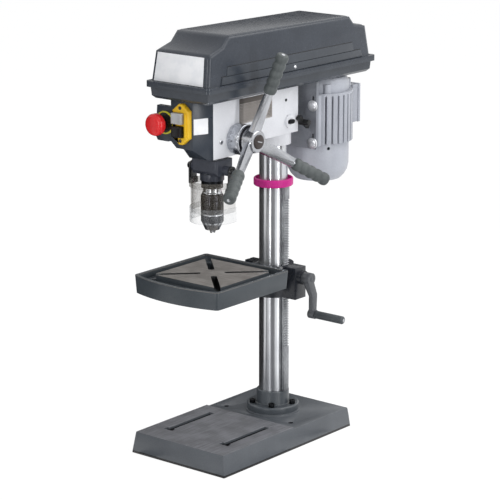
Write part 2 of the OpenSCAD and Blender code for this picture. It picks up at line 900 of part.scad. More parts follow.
// Sliding sleeve that carries the spindle, with rack teeth at the back
module quill() {
    low = -2;
    high = 10;
    color("#b9bcc0") difference() {
        cyl_z(quill_r, quill_low, quill_high, 0, spindle_y);
        cyl_z(12, quill_low - over, quill_high + over, 0, spindle_y);
        cyl_z(bearing_r + fit, quill_low - over, quill_low + bearing_h, 0, spindle_y);
        cyl_z(bearing_r + fit, quill_high - bearing_h, quill_high + over, 0, spindle_y);
        for (i = [low:high]) side_profile([for (p = rack_gap(feed_z + (i + 0.5) * pitch))
            [spindle_y + quill_r + p[1] + (p[1] == 0 ? 0.01 : 0), p[0]]], -quill_r, quill_r);
    }
}

// Ball bearings at both ends of the quill, shown as closed rings
module quill_bearings() {
    color("#a9acb0") for (z = [quill_low + 1, quill_high - bearing_h]) difference() {
        cyl_z(bearing_r, z, z + bearing_h - 1, 0, spindle_y);
        cyl_z(spindle_d / 2 + fit, z - over, z + bearing_h, 0, spindle_y);
        translate([0, spindle_y, z]) rotate_extrude() translate([13, -over]) square([2, 2]);
    }
}

// Spindle with a drive spline at its top
module spindle() {
    color("#c4c7ca") difference() {
        cyl_z(spindle_d / 2, chuck_top - 30, crown_z - 19, 0, spindle_y);
        for (a = [0:60:300]) translate([0, spindle_y, 0]) rotate(a)
            box(spindle_d / 2 - 1.2, spindle_d, -1.5, 1.5, quill_high + 8, crown_z);
    }
}

// Black nut between the quill and the chuck
module spindle_nut() {
    color("#1b1b1d") difference() {
        cyl_z(nut_r, chuck_top, quill_low - 0.6, 0, spindle_y);
        cyl_z(spindle_d / 2 + fit, chuck_top - over, quill_low, 0, spindle_y);
    }
}

// Places a jaw: the slide line leans outwards from the closed tip
module jaw_frame(k) {
    translate([0, spindle_y, jaw_tip]) rotate(120 * k - 90) translate([jaw_rho, 0, 0])
        rotate([0, jaw_lean, 0]) children();
}

// Chuck core, top ring and nose
module chuck_body() {
    r = chuck_d / 2;
    color("#b4b6b9") difference() {
        translate([0, spindle_y, 0]) rotate_extrude() polygon([[0, nose_low], [15, nose_low],
            [r - 1.5, sleeve_low - gap], [core_r, sleeve_low - gap], [core_r, ring_z + gap],
            [r - 3, ring_z + gap], [r - 3, ring_z + 2], [r - 4.7, ring_z + 3.5], [r - 4.7, chuck_top],
            [0, chuck_top]]);
        cyl_z(spindle_d / 2 + fit, chuck_top - 30, chuck_top + over, 0, spindle_y);
        cyl_z(7, nose_low - over, nose_low + 8, 0, spindle_y);
        for (k = [0:2]) jaw_frame(k) cyl_z(jaw_r + fit, -2, jaw_len + jaw_travel + 1);
    }
}

// Turning sleeve of the keyless chuck
module chuck_sleeve() {
    r = chuck_d / 2;
    mid = sleeve_low + 17;
    color("#4a4b4e") translate([0, spindle_y, 0]) rotate_extrude() polygon([[core_r + fit, sleeve_low],
        [r - 1, sleeve_low], [r, sleeve_low + 2], [r, mid - 1], [r - 1, mid], [r, mid + 1],
        [r, ring_z - 5], [r - 2.5, ring_z], [core_r + fit, ring_z]]);
}

module jaw(k) {
    color("#85888c") jaw_frame(k) cyl_z(jaw_r, 0, jaw_len);
}

module jaw_1() {
    jaw(0);
}

module jaw_2() {
    jaw(1);
}

module jaw_3() {
    jaw(2);
}

// Plan of a guard sheet: a half round front with straight sides to the rear
module guard_plan(outer, inner) {
    translate([0, spindle_y]) difference() {
        union() {
            circle(outer);
            translate([-outer, 0]) square([2 * outer, guard_back]);
        }
        circle(inner);
        translate([-inner, 0]) square([2 * inner, guard_back + over]);
        translate([-outer, guard_back]) square([2 * outer, outer]);
    }
}

// Clamp block on the quill that carries the guard's pivots
module guard_carrier() {
    color("#3c4046") difference() {
        union() {
            intersection() {
                translate([0, spindle_y, carrier_low]) linear_extrude(carrier_high - carrier_low)
                    round_rect(-carrier_half, carrier_half, -carrier_deep, carrier_deep, 6);
                translate([0, spindle_y, 0]) side_profile([[-20, carrier_low], [20, carrier_low],
                    [carrier_deep, carrier_low + 8], [carrier_deep, carrier_high],
                    [-carrier_deep, carrier_high], [-carrier_deep, carrier_low + 8]],
                    -carrier_half, carrier_half);
            }
            cyl_x(trunnion_r, -trunnion_x, trunnion_x, spindle_y, pivot_z);
            cyl_z(quill_r + 3, quill_low, carrier_low + over, 0, spindle_y);
        }
        cyl_z(quill_r + fit, quill_low - over, carrier_high + over, 0, spindle_y);
        for (side = [-1, 1]) cyl_x(pivot_r + fit, side < 0 ? -trunnion_x - over : trunnion_x - 12,
            side < 0 ? -trunnion_x + 12 : trunnion_x + over, spindle_y, pivot_z);
        box(-1, 1, spindle_y + quill_r - over, spindle_y + carrier_deep + over, quill_low - over,
            carrier_high + over);
    }
}

// Dark band and side arms that hold the clear shield
module guard_yoke() {
    inner = trunnion_x + gap;
    outer = inner + 4;
    color("#2c2f33") {
        translate([0, 0, band_low]) linear_extrude(shield_top - band_low)
            guard_plan(yoke_r + yoke_t, yoke_r);
        for (side = [0, 1]) mirror([side, 0, 0]) {
            box(yoke_r + 0.5, outer, spindle_y - yoke_arm, spindle_y + yoke_arm, band_low, shield_top);
            box(inner, outer, spindle_y - yoke_arm, spindle_y + yoke_arm, band_low, pivot_z);
            cyl_x(yoke_arm, inner, outer, spindle_y, pivot_z);
            cyl_x(pivot_r, trunnion_x - 10, outer, spindle_y, pivot_z);
            cyl_x(7, outer - 0.5, outer + 7, spindle_y, pivot_z);
        }
    }
}

// Clear upper sheet of the guard
module guard_shield() {
    color("#c9d2d6", 0.5) translate([0, 0, guard_seam]) linear_extrude(shield_top - guard_seam)
        guard_plan(shield_r, guard_r);
}

// Clear lower sheet that slides up over the shield
module guard_extension() {
    color("#e2eaec", 0.5) translate([0, 0, guard_low]) linear_extrude(guard_seam + 10 - guard_low)
        guard_plan(extension_r + guard_t, extension_r);
}

// Profile of a stepped pulley, from the lowest step up, in (radius, height)
function pulley_outline(radii) = [for (i = [0:steps - 1]) each [
    [radii[i], i * step_h], [radii[i], i * step_h + 2], [radii[i] - groove, i * step_h + 5],
    [radii[i] - groove, i * step_h + 10], [radii[i], i * step_h + 13], [radii[i], (i + 1) * step_h]]];

spindle_radii = [for (i = [0:steps - 1]) pulley_big - i * pulley_step];
motor_radii = [for (i = [0:steps - 1]) pulley_small + i * pulley_step];

// Stepped pulley whose sleeve runs in the head's bearing and drives the spindle's spline
module spindle_pulley() {
    bore = spindle_d / 2 + fit;
    top = pulley_z + steps * step_h;
    color("#aeb1b4") translate([0, spindle_y, 0]) rotate_extrude() polygon(concat(
        [[bore, quill_high + 11], [hub_sleeve_r, quill_high + 11], [hub_sleeve_r, pulley_z]],
        [for (p = pulley_outline(spindle_radii)) [p[0], pulley_z + p[1]]],
        [[hub_sleeve_r, top], [bore, top]]));
}

// Stepped pulley on the motor shaft
module motor_pulley() {
    top = pulley_z + steps * step_h;
    color("#aeb1b4") translate([0, motor_y, 0]) rotate_extrude() polygon(concat(
        [[shaft_r + fit, pulley_z]],
        [for (p = pulley_outline(motor_radii)) [p[0], pulley_z + p[1]]],
        [[shaft_r + fit, top]]));
}

// Bearing ring of the spindle pulley in the head's top
module pulley_bearing() {
    color("#a9acb0") difference() {
        cyl_z(pulley_seat_r, head_top - pulley_seat_h, head_top - 1, 0, spindle_y);
        cyl_z(hub_sleeve_r + fit, head_top - pulley_seat_h - over, head_top, 0, spindle_y);
    }
}

// Plan of the belt run round one step of both pulleys
module belt_run(inset) {
    hull() {
        translate([0, spindle_y]) circle(spindle_radii[belt_step] - inset);
        translate([0, motor_y]) circle(motor_radii[belt_step] - inset);
    }
}

// Drive belt in the second groove from below
module drive_belt() {
    z = pulley_z + belt_step * step_h + 5.2;
    color("#222325") translate([0, 0, z]) linear_extrude(4.6) difference() {
        belt_run(0.6);
        belt_run(groove - gap);
    }
}

// Outer solid of the tray, or its inside when inset by the wall
module tray_solid(inset, low, high) {
    f = -lid_front + inset;
    b = lid_back + 2 - inset;
    h = guard_half - inset;
    near = tray_taper;
    far = tray_taper + tray_cut;
    intersection() {
        side_profile([[f + far, low], [b - far, low], [b - near, low + tray_cut], [b, high], [f, high],
            [f + near, low + tray_cut]], -h, h);
        front_profile([[-h + far, low], [h - far, low], [h - near, low + tray_cut], [h, high], [-h, high],
            [-h + near, low + tray_cut]], f - over, b + over);
    }
}

// Plan of the rim flange that tray and lid share
module rim_plan() {
    round_rect(-flange_half, flange_half, -lid_front - rim_out, lid_back + 2 + rim_out, 10);
}

// Lower half of the belt guard, with its hinge knuckles and pins
module belt_tray() {
    color("#4b5156") {
        difference() {
            union() {
                tray_solid(0, tray_low, seam_z);
                translate([0, 0, seam_z - rim_flange]) linear_extrude(rim_flange) rim_plan();
            }
            tray_solid(shell_t, tray_low + shell_t, seam_z + 0.01);
            cyl_z(hub_sleeve_r + 4, tray_low - over, tray_low + shell_t + over, 0, spindle_y);
            box(-shaft_r - 8, shaft_r + 8, motor_y - 34, motor_y + 18, tray_low - over,
                tray_low + shell_t + over);
        }
        for (y = hinge_ys) {
            box(hinge_x, -flange_half + over, y, y + knuckle_l, seam_z - rim_flange + 1, seam_z - gap);
            cyl_y(hinge_r, y, y + knuckle_l, hinge_x, seam_z);
            cyl_y(hinge_pin_r, y, y + 2 * knuckle_l, hinge_x, seam_z);
        }
    }
}

// Side view of the lid, inset by a wall thickness
function lid_side(t) = [[-lid_front + t, seam_z - (t > 0 ? over : 0)],
    [-lid_front + front_lean + t, seam_z + 68 - t], [-lid_front + 53 + t, seam_z + 81 - t],
    [-lid_front + 72 + t, crown_z - t], [lid_back - 66 - t, crown_z - crown_fall - t],
    [lid_back - 49 - t, seam_z + 78 - t], [lid_back - 12 - t, seam_z + 72 - t],
    [lid_back - t, seam_z - (t > 0 ? over : 0)]];

module lid_solid(t) {
    intersection() {
        side_profile(lid_side(t), -guard_half, guard_half);
        front_profile([[-guard_half + t, seam_z - over], [-crown_half + t, crown_z],
            [crown_half - t, crown_z], [guard_half - t, seam_z - over]], -lid_front - over, lid_back + over);
    }
}

// Upper half of the belt guard
module belt_lid() {
    color("#4b5156") difference() {
        union() {
            lid_solid(0);
            translate([0, 0, seam_z]) linear_extrude(rim_flange) rim_plan();
            for (y = hinge_ys) {
                box(hinge_x, -flange_half + over, y + knuckle_l + gap, y + 2 * knuckle_l, seam_z + gap,
                    seam_z + rim_flange - 1);
                cyl_y(hinge_r, y + knuckle_l + gap, y + 2 * knuckle_l, hinge_x, seam_z);
            }
        }
        lid_solid(shell_t);
        for (y = hinge_ys)
            cyl_y(hinge_pin_r + fit, y + knuckle_l, y + 2 * knuckle_l + over, hinge_x, seam_z);
    }
}

// Places of the bolts that hold the motor to its plate
module motor_bolt_places() {
    for (x = [-bolt_x, bolt_x], z = bolt_zs) translate([x, 0, z]) children();
}

// Plate between the slide rods and the motor, slotted above each bolt
module motor_plate() {
    color("#9b9ca3") difference() {
        box(-plate_half, plate_half, plate_y, plate_y + plate_t, plate_low, plate_high);
        motor_bolt_places() {
            cyl_y(bolt_r + fit, plate_y - over, plate_y + plate_t + over, 0, 0);
            box(-2.5, 2.5, plate_y - over, plate_y + plate_t + over, 0, 20);
        }
        for (side = [-1, 1])
            cyl_y(rod_d / 2 + fit, plate_y - over, plate_y + plate_t + over, side * rod_x, rod_z);
    }
}

// Two rods on which the motor slides to slacken the belt
module slide_rods() {
    color("#b9bcc0") for (side = [-1, 1])
        cyl_y(rod_d / 2, rod_in, plate_y + plate_t, side * rod_x, rod_z);
}

// Four plated bolts with round flanged heads
module motor_bolts() {
    color("#d5d7da") motor_bolt_places() {
        cyl_y(bolt_r, plate_y - over, plate_y + plate_t + motor_foot_t - 1, 0, 0);
        cyl_y(12, plate_y - 3, plate_y, 0, 0);
        cyl_y(8.5, plate_y - 6, plate_y - 2, 0, 0);
    }
}

// Groove between two fins, round at its upper end
module fin_groove() {
    half = fin_groove_w / 2;
    top = motor_high - 5 - half;
    box(motor_r, fin_r + over, -half, half, motor_low - over, top);
    cyl_x(half, motor_r, fin_r + over, 0, top);
}

// Finned motor body with a foot for the plate and a pad for the terminal box
module motor_body() {
    foot_y = plate_y + plate_t;
    color("#adafb7") difference() {
        union() {
            difference() {
                cyl_z(fin_r, motor_low, motor_high, 0, motor_y);
                for (i = [0:fin_count - 1]) translate([0, motor_y, 0])
                    rotate(fin_turn + i * 360 / fin_count) fin_groove();
                box(-fin_r - over, fin_r + over, motor_y - fin_r - over, foot_y, motor_low - over,
                    motor_high + over);
            }
            box(-plate_half, plate_half, foot_y, foot_y + motor_foot_t, motor_low, motor_high);
            box(-foot_neck, foot_neck, foot_y + motor_foot_t - 1, motor_y - 20, motor_low, motor_high);
            box(-pad_half, pad_half, motor_y + 40, motor_y + fin_r, pad_low, motor_high);
        }
        cyl_z(stator_r + fit, motor_low + 6, motor_high + over, 0, motor_y);
        cyl_z(shaft_r + fit, motor_low - over, motor_low + 7, 0, motor_y);
        motor_bolt_places() cyl_y(bolt_r + fit, foot_y - over, foot_y + motor_foot_t - 0.5, 0, 0);
    }
}

// Top end shield with bosses for the tie bolts
module motor_flange() {
    r = motor_r + 4;
    color("#b7b9c0") difference() {
        union() {
            translate([0, motor_y, motor_high]) rotate_extrude() polygon([[0, 0], [r, 0], [r, 20],
                [r - 6, 30], [r - 16, flange_top - motor_high], [0, flange_top - motor_high]]);
            for (a = [0:90:270]) translate([0, motor_y, 0]) rotate(a + ear_turn)
                cyl_z(ear_r, motor_high, motor_high + 20, motor_r + 2, 0);
        }
        cyl_z(shaft_r + fit, motor_high - over, flange_top + over, 0, motor_y);
        cyl_z(stator_r - 8, motor_high - over, motor_high + 12, 0, motor_y);
    }
}

// Windings and laminations
module motor_stator() {
    color("#8a5a34") difference() {
        cyl_z(stator_r, motor_low + 6, motor_high - 2, 0, motor_y);
        cyl_z(rotor_r + 0.5, motor_low + 5, motor_high, 0, motor_y);
    }
}

// Rotor on the motor shaft
module motor_rotor() {
    color("#85888c") {
        cyl_z(shaft_r, motor_low - fan_drop - 4, pulley_z + steps * step_h, 0, motor_y);
        cyl_z(rotor_r, motor_low + 12, motor_high - 8, 0, motor_y);
    }
}

// Cooling fan below the motor body
module motor_fan() {
    color("#2b2d30") difference() {
        translate([0, motor_y, motor_low - fan_drop]) {
            cylinder(r = fan_hub_r, h = fan_blade_h + 2);
            cylinder(r = fan_r, h = 3);
            for (a = [0:45:315]) rotate(a)
                translate([fan_hub_r - 3, -1.5, 0]) cube([fan_r - fan_hub_r + 3, 3, fan_blade_h]);
        }
        cyl_z(shaft_r + fit, motor_low - fan_drop - over, motor_low, 0, motor_y);
    }
}

// Pressed fan cover with air slots in its floor
module fan_cover() {
    r = motor_r + 5;
    t = 2.5;
    rows = [[r, motor_low], [r, motor_low - 50], [r - 3, motor_low - 64], [r - 9, motor_low - 75],
        [r - 18, bell_low]];
    color("#b4b6bd") difference() {
        translate([0, motor_y, 0]) rotate_extrude() polygon(concat(rows, [[0, bell_low], [0, bell_low + t],
            [r - 18 - t / 2, bell_low + t]], [for (i = [3:-1:0]) [rows[i][0] - t, rows[i][1]]]));
        for (a = [0:30:330]) translate([0, motor_y, bell_low - over]) rotate(a)
            box(10, 30, -1.5, 1.5, 0, t + 2 * over);
    }
}

// Terminal box with its lid line and cable boss
module terminal_box() {
    y = motor_y + fin_r;
    color("#a3a6ad") difference() {
        union() {
            box(-terminal_half + 1, terminal_half - 1, y, y + 18, terminal_low + 1, terminal_high - 1);
            box(-terminal_half + 3, terminal_half - 3, y + 17, y + 20, terminal_low + 3, terminal_high - 3);
            box(-terminal_half, terminal_half, y + 19, y + 26, terminal_low, terminal_high);
            cyl_z(9, terminal_low - 10, terminal_low + 2, 0, y + 9);
        }
        cyl_z(5, terminal_low - 11, terminal_low + 1, 0, y + 9);
    }
}

// Black wing screw that locks a slide rod
module lock_screw() {
    color("#18191b") {
        cyl_x(stem_r, rod_x + rod_d / 2 + gap, block_half + 4, lock_y, rod_z);
        cyl_x(7, block_half + gap, wing_x + over, lock_y, rod_z);
        translate([wing_x, lock_y, rod_z]) rotate([-35, 0, 0]) box(0, 7, -wing_half, wing_half, -5, 5);
        cyl_x(6, wing_x, wing_x + 20, lock_y, rod_z);
    }
}

// Collar on the column with the tilt arm, the clamp lugs and the lift gear housing
module table_bracket() {
    color("#5f656b") difference() {
        union() {
            cyl_z(bracket_r, bracket_low, bracket_high);
            box(0, gearbox_x, -gearbox_half, gearbox_half, bracket_low, bracket_high);
            cyl_x(15, gearbox_x - over, crank_boss_x, 0, crank_z);
            box(-24, 24, arm_end + 12, 0, tilt_z - 20, tilt_z + 20);
            cyl_y(tilt_d / 2, arm_end, -column_r, 0, tilt_z);
            cyl_y(tilt_pin_d / 2, arm_end - 31, arm_end, 0, tilt_z);
            box(lock_x - 12, -column_r, -14, 14, lock_z - 14, lock_z + 14);
        }
        cyl_z(column_r + fit, bracket_low - over, bracket_high + over);
        box(0, rack_tip + gap, -rack_w / 2 - gap, rack_w / 2 + gap, bracket_low - over,
            bracket_high + over);
        box(lock_x - 13, -column_r + over, -1.5, 1.5, bracket_low - over, bracket_high + over);
        cyl_y(lift_r + addendum + 1, -9, 9, lift_x, lift_z);
        cyl_y(4 + fit, -gearbox_half - over, gearbox_half + over, lift_x, lift_z);
        cyl_x(crank_shaft_d / 2 + fit, rack_tip, crank_boss_x + over, 0, crank_z);
        cyl_y(stem_r + fit, -15, 15, lock_x, lock_z);
    }
}

// Lever screw that pinches the bracket's lugs
module table_lock() {
    color("#2a2c2f") {
        cyl_y(stem_r, -15, 16, lock_x, lock_z);
        cyl_y(8, -24, -14 - gap, lock_x, lock_z);
        translate([lock_x, -19, lock_z]) rotate([0, lever_turn, 0]) cyl_z(4, 0, 48);
        translate([lock_x, -19, lock_z]) rotate([0, lever_turn, 0]) translate([0, 0, 50]) sphere(8);
        cyl_y(7, 14 + gap, 20, lock_x, lock_z);
    }
}

// Gear that climbs the rack, on its axle
module lift_gear() {
    color("#b08a4a") translate([lift_x, 0, lift_z]) rotate([90, 0, 0]) {
        translate([0, 0, -8]) linear_extrude(16) rotate(180 + 180 / lift_teeth) gear_outline(lift_teeth);
        translate([0, 0, -gearbox_half]) cylinder(r = 4, h = gearbox_w);
    }
}

// Crank shaft with its worm over the lift gear, the thread shown as rings
module crank_shaft() {
    threads = 4;
    worm_x = rack_tip + 1.5;
    worm_r = crank_z - lift_z - lift_r - addendum - gap;
    root = worm_r - 1.6;
    worm_l = threads * pitch;
    color("#9b9ea2") {
        translate([worm_x, 0, crank_z]) rotate([0, 90, 0]) rotate_extrude() polygon(concat([[0, 0]],
            [for (i = [0:threads - 1]) each [[root, i * pitch], [worm_r, (i + 0.3) * pitch],
                [worm_r, (i + 0.5) * pitch], [root, (i + 0.8) * pitch]]],
            [[root, worm_l], [0, worm_l]]));
        cyl_x(crank_shaft_d / 2, worm_x + worm_l - 0.5, arm_x + 14, 0, crank_z);
    }
}

// Cast crank arm that swings out to the handle pin
module crank_arm() {
    top = arm_x;
    low = arm_x + 12;
    color("#5f656b") difference() {
        union() {
            cyl_x(13, top - 5.5, top + 14, 0, crank_z);
            cyl_x(10, low - 2, low + 13, 0, handle_z);
            hull() {
                box(top, top + 10, -10, 10, crank_z - 10, crank_z);
                box(top + 9, top + 19, -3, 13, crank_z - crank_throw * 0.5, crank_z - crank_throw * 0.45);
            }
            hull() {
                box(top + 9, top + 19, -3, 13, crank_z - crank_throw * 0.55, crank_z - crank_throw * 0.5);
                box(low, low + 10, -7, 7, handle_z, handle_z + 4);
            }
            cyl_x(4, low, handle_x + handle_len - 3, 0, handle_z);
        }
        cyl_x(crank_shaft_d / 2 + fit, top - 7, top + 15, 0, crank_z);
    }
}

// Loose handle on the crank pin
module crank_handle() {
    r = handle_d / 2;
    color("#5f656b") translate([handle_x, 0, handle_z]) rotate([0, 90, 0]) rotate_extrude()
        polygon([[4 + fit, 0], [r - 1.5, 0], [r, 1.5], [r, handle_len - 2], [r - 2, handle_len],
            [0, handle_len], [0, handle_len - 3 + gap], [4 + fit, handle_len - 3 + gap]]);
}

// Slanted through slots of the table, or the ribs round them when grown
module table_slots(grow) {
    reach = plateau_w / sqrt(2) - 2;
    r = table_slot_w / 2 + grow;
    for (a = [45:90:315]) translate([0, spindle_y]) rotate(a) {
        translate([table_slot_in, -r]) square([reach - table_slot_in, 2 * r]);
        translate([table_slot_in, 0]) circle(r);
        translate([reach, 0]) circle(r);
    }
}

// Plan of the table inside its walls, which bow forwards at the front
module table_plan(inset) {
    half = table_half - inset;
    front = spindle_y - table_fore - front_bow;
    intersection() {
        translate([-half, front - over]) square([2 * half, spindle_y + table_aft - inset - front + over]);
        translate([0, front + bow_r]) circle(bow_r - inset, $fn = 256);
    }
}

// Outside of the table, with walls that lean inwards towards their lower edge
module table_block() {
    front = spindle_y - table_fore - front_bow;
    back = spindle_y + table_aft;
    low = rim_z - skirt_h;
    intersection() {
        front_profile([[-table_half + skirt_draft, low], [table_half - skirt_draft, low], [table_half, rim_z],
            [-table_half, rim_z]], front, back);
        side_profile([[front - over, low], [back - skirt_draft, low], [back, rim_z], [front - over, rim_z]],
            -table_half, table_half);
        translate([0, front + bow_r, low])
            cylinder(r1 = bow_r - skirt_draft, r2 = bow_r, h = skirt_h, $fn = 256);
    }
}

// Table with a rim, a moat, a raised work face, ribs round its slots and a boss for the tilt pin
module table() {
    low = rim_z - skirt_h;
    plateau = plateau_w / 2;
    color("#5f656b") difference() {
        union() {
            difference() {
                table_block();
                translate([0, 0, moat_z]) linear_extrude(rim_z) table_plan(rim_t);
                translate([0, 0, low - over]) linear_extrude(table_under - low + over)
                    table_plan(rim_t + skirt_draft);
            }
            box(-plateau, plateau, spindle_y - plateau, spindle_y + plateau, moat_z - over, table_z);
            translate([0, 0, low]) linear_extrude(table_under - low + over) table_slots(slot_rib);
            cyl_y(tilt_d / 2, arm_end - 42, arm_end - gap, 0, tilt_z);
            box(-20, 20, arm_end - 42, spindle_y + table_aft - skirt_draft - over, tilt_z,
                table_under + over);
        }
        cyl_y(tilt_pin_d / 2 + fit, arm_end - 33, arm_end, 0, tilt_z);
        translate([0, 0, low - over]) linear_extrude(rim_z) table_slots(0);
    }
}

base();
column_foot();
foot_bolts();
column();
rack_ring();
head_casting();
head_screws();
front_cover();
belt_tray();
drive_belt();
pulley_bearing();
switch_plate();
switch_block();
estop_base();
spring_cap();
return_spring();
cable_gland();
start_button();
stop_button();
estop_button();
quill();
quill_bearings();
guard_carrier();
guard_yoke();
guard_shield();
guard_extension();
spindle();
spindle_nut();
chuck_body();
chuck_sleeve();
jaw_1();
jaw_2();
jaw_3();
spindle_pulley();
motor_plate();
slide_rods();
motor_body();
motor_flange();
motor_stator();
fan_cover();
terminal_box();
motor_bolts();
motor_rotor();
motor_pulley();
motor_fan();
lock_screw();
belt_lid();
pinion_shaft();
depth_drum();
feed_hub();
feed_grips();
hub_cap();
rack();
table_bracket();
lift_gear();
crank_shaft();
crank_arm();
crank_handle();
table_lock();
table();
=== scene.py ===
import json
import math

import bmesh
import bpy
from mathutils import Matrix, Vector

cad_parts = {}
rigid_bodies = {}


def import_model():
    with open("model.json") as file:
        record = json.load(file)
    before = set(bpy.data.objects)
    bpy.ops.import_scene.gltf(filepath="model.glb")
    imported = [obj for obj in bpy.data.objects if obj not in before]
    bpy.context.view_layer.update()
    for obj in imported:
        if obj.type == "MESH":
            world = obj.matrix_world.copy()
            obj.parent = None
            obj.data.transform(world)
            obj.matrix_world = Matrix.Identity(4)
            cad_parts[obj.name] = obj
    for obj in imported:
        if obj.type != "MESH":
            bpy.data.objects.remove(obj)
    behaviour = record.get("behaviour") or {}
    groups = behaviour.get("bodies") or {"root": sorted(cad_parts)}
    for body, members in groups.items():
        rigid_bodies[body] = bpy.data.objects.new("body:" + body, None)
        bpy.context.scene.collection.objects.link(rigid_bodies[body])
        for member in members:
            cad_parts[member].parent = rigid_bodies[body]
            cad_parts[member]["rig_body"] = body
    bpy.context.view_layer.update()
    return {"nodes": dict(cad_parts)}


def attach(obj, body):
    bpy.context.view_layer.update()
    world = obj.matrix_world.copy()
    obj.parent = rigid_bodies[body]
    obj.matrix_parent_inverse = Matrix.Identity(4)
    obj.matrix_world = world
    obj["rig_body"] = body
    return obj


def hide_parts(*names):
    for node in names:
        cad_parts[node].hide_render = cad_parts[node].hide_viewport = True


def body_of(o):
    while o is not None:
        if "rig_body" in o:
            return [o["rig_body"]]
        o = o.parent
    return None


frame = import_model()

# Studio: a pale floor in a white surround, a broad lamp overhead and two tall narrow lamps either
# side of the camera, whose reflections draw the bright lines on rounded corners. Dark and grey cards
# that only reflections see give the polished column its streaks.
MM = 0.001
VIEW_AZIMUTH = math.radians(39.3)
VIEW_ELEVATION = math.radians(14.1)
VIEW_CENTRE = Vector((0, -80 * MM, 430 * MM))
VIEW_DISTANCE = 4.5607

scene = bpy.context.scene
scene.view_settings.view_transform = "Standard"


def tone(code):
    """A colour written as six hex digits, in linear light."""
    parts = [int(code[i:i + 2], 16) / 255 for i in (0, 2, 4)]
    return tuple(p / 12.92 if p <= 0.04045 else ((p + 0.055) / 1.055) ** 2.4 for p in parts) + (1,)


class Wire:
    """A socket in a node tree. Operators on it add Math nodes, and add() puts in any other node."""

    def __init__(self, tree, socket=None):
        self.tree = tree
        self.socket = socket

    def add(self, kind, settings=None, sockets=None, output=0):
        made = self.tree.nodes.new("ShaderNode" + kind)
        for key, value in (settings or {}).items():
            setattr(made, key, value)
        for key, value in (sockets or {}).items():
            if isinstance(value, Wire):
                self.tree.links.new(value.socket, made.inputs[key])
            else:
                made.inputs[key].default_value = value
        return Wire(self.tree, made.outputs[output])

    def other(self, output):
        return Wire(self.tree, self.socket.node.outputs[output])

    def math(self, operation, first, second):
        return self.add("Math", {"operation": operation}, {0: first, 1: second})

    def __add__(self, value):
        return self.math("ADD", self, value)

    def __sub__(self, value):
        return self.math("SUBTRACT", self, value)

    def __rsub__(self, value):
        return self.math("SUBTRACT", value, self)

    def __mul__(self, value):
        return self.math("MULTIPLY", self, value)

    def __mod__(self, value):
        return self.math("FLOORED_MODULO", self, value)

    def __gt__(self, value):
        return self.math("GREATER_THAN", self, value)

    def __lt__(self, value):
        return self.math("LESS_THAN", self, value)

    __radd__ = __add__
    __rmul__ = __mul__

    def size(self):
        return self.math("ABSOLUTE", self, 0)

    def within(self, low, high):
        return (self > low) * (self < high)

    def span(self, low, high):
        return self.add("MapRange", {"interpolation_type": "SMOOTHSTEP"},
                        {"Value": self, "From Min": low, "From Max": high})

    def mix(self, first, second):
        return self.add("Mix", {"data_type": "RGBA"}, {0: self, 6: first, 7: second}, output=2)


def lamp(name, azimuth, distance, height, target, size, power):
    """A flat lamp on a circle round the press, turned to look at a point."""
    data = bpy.data.lights.new(name, "AREA")
    data.shape = "RECTANGLE"
    data.size, data.size_y = size
    data.energy = power
    thing = bpy.data.objects.new(name, data)
    angle = math.radians(azimuth)
    thing.location = (distance * math.sin(angle), -distance * math.cos(angle), height)
    thing.rotation_euler = (Vector(target) - thing.location).to_track_quat("-Z", "Y").to_euler()
    scene.collection.objects.link(thing)


lamp("lamp_overhead", 130, 1.3, 2.5, (0, 0, 0.4), (2.4, 2.4), 36)
lamp("lamp_right", 81, 2.7, 1.1, (0, 0, 0.5), (0.22, 2.0), 23)
lamp("lamp_left", 14, 2.9, 1.1, (0, 0, 0.5), (0.18, 2.0), 19)

surround = bpy.data.worlds.new("studio_surround")
surround.use_nodes = True
scene.world = surround
rays = Wire(surround.node_tree).add("LightPath", output="Is Camera Ray")
seen = rays + rays.other("Is Glossy Ray") + rays.other("Is Transmission Ray")
plain_light = rays.add("Background", sockets={"Color": tone("f4f6fa"), "Strength": 0.5})
white = rays.add("Background", sockets={"Color": (1, 1, 1, 1), "Strength": 1.0})
both = rays.add("MixShader", sockets={0: seen > 0.5, 1: plain_light, 2: white})
surround.node_tree.links.new(both.socket, surround.node_tree.nodes["World Output"].inputs[0])


def stage_piece(mesh, name, material):
    """Turns a bmesh into a part of the stage."""
    data = bpy.data.meshes.new(name)
    mesh.to_mesh(data)
    mesh.free()
    data.materials.append(material)
    thing = bpy.data.objects.new(name, data)
    scene.collection.objects.link(thing)
    return thing


def new_finish(name):
    """A material with its shader and the piece's own coordinates."""
    material = bpy.data.materials.new(name)
    material.use_nodes = True
    tree = material.node_tree
    here = Wire(tree).add("TexCoord", output="Object")
    return material, tree.nodes["Principled BSDF"], here


def plug(shader, sockets):
    """Sets or links sockets of a material's shader."""
    for key, value in sockets.items():
        if isinstance(value, Wire):
            value.tree.links.new(value.socket, shader.inputs[key])
        else:
            shader.inputs[key].default_value = value


FLOOR = 8.0
floor_paint, floor_shader, here = new_finish("floor_paint")
floor_rays = here.add("LightPath", output="Is Camera Ray")
plug(floor_shader, {"Base Color": tone("f2f2f2"), "Roughness": 0.9, "Specular IOR Level": 0.1})
floor_glow = here.add("Emission", sockets={"Color": (1, 1, 1, 1), "Strength": 1.1})
floor_view = floor_rays + floor_rays.other("Is Glossy Ray")
floor_mix = here.add("MixShader", sockets={0: floor_view * 0.85, 1: Wire(
    floor_paint.node_tree, floor_shader.outputs[0]), 2: floor_glow})
floor_paint.node_tree.links.new(
    floor_mix.socket, floor_paint.node_tree.nodes["Material Output"].inputs[0])
mesh = bmesh.new()
bmesh.ops.create_grid(mesh, x_segments=1, y_segments=1, size=FLOOR)
stage_piece(mesh, "floor", floor_paint)


CARD_NEAR = 0.14
CARD_FAR = 3.2
CARD_LIFT = 0.004
CARD_TALL = 1.6


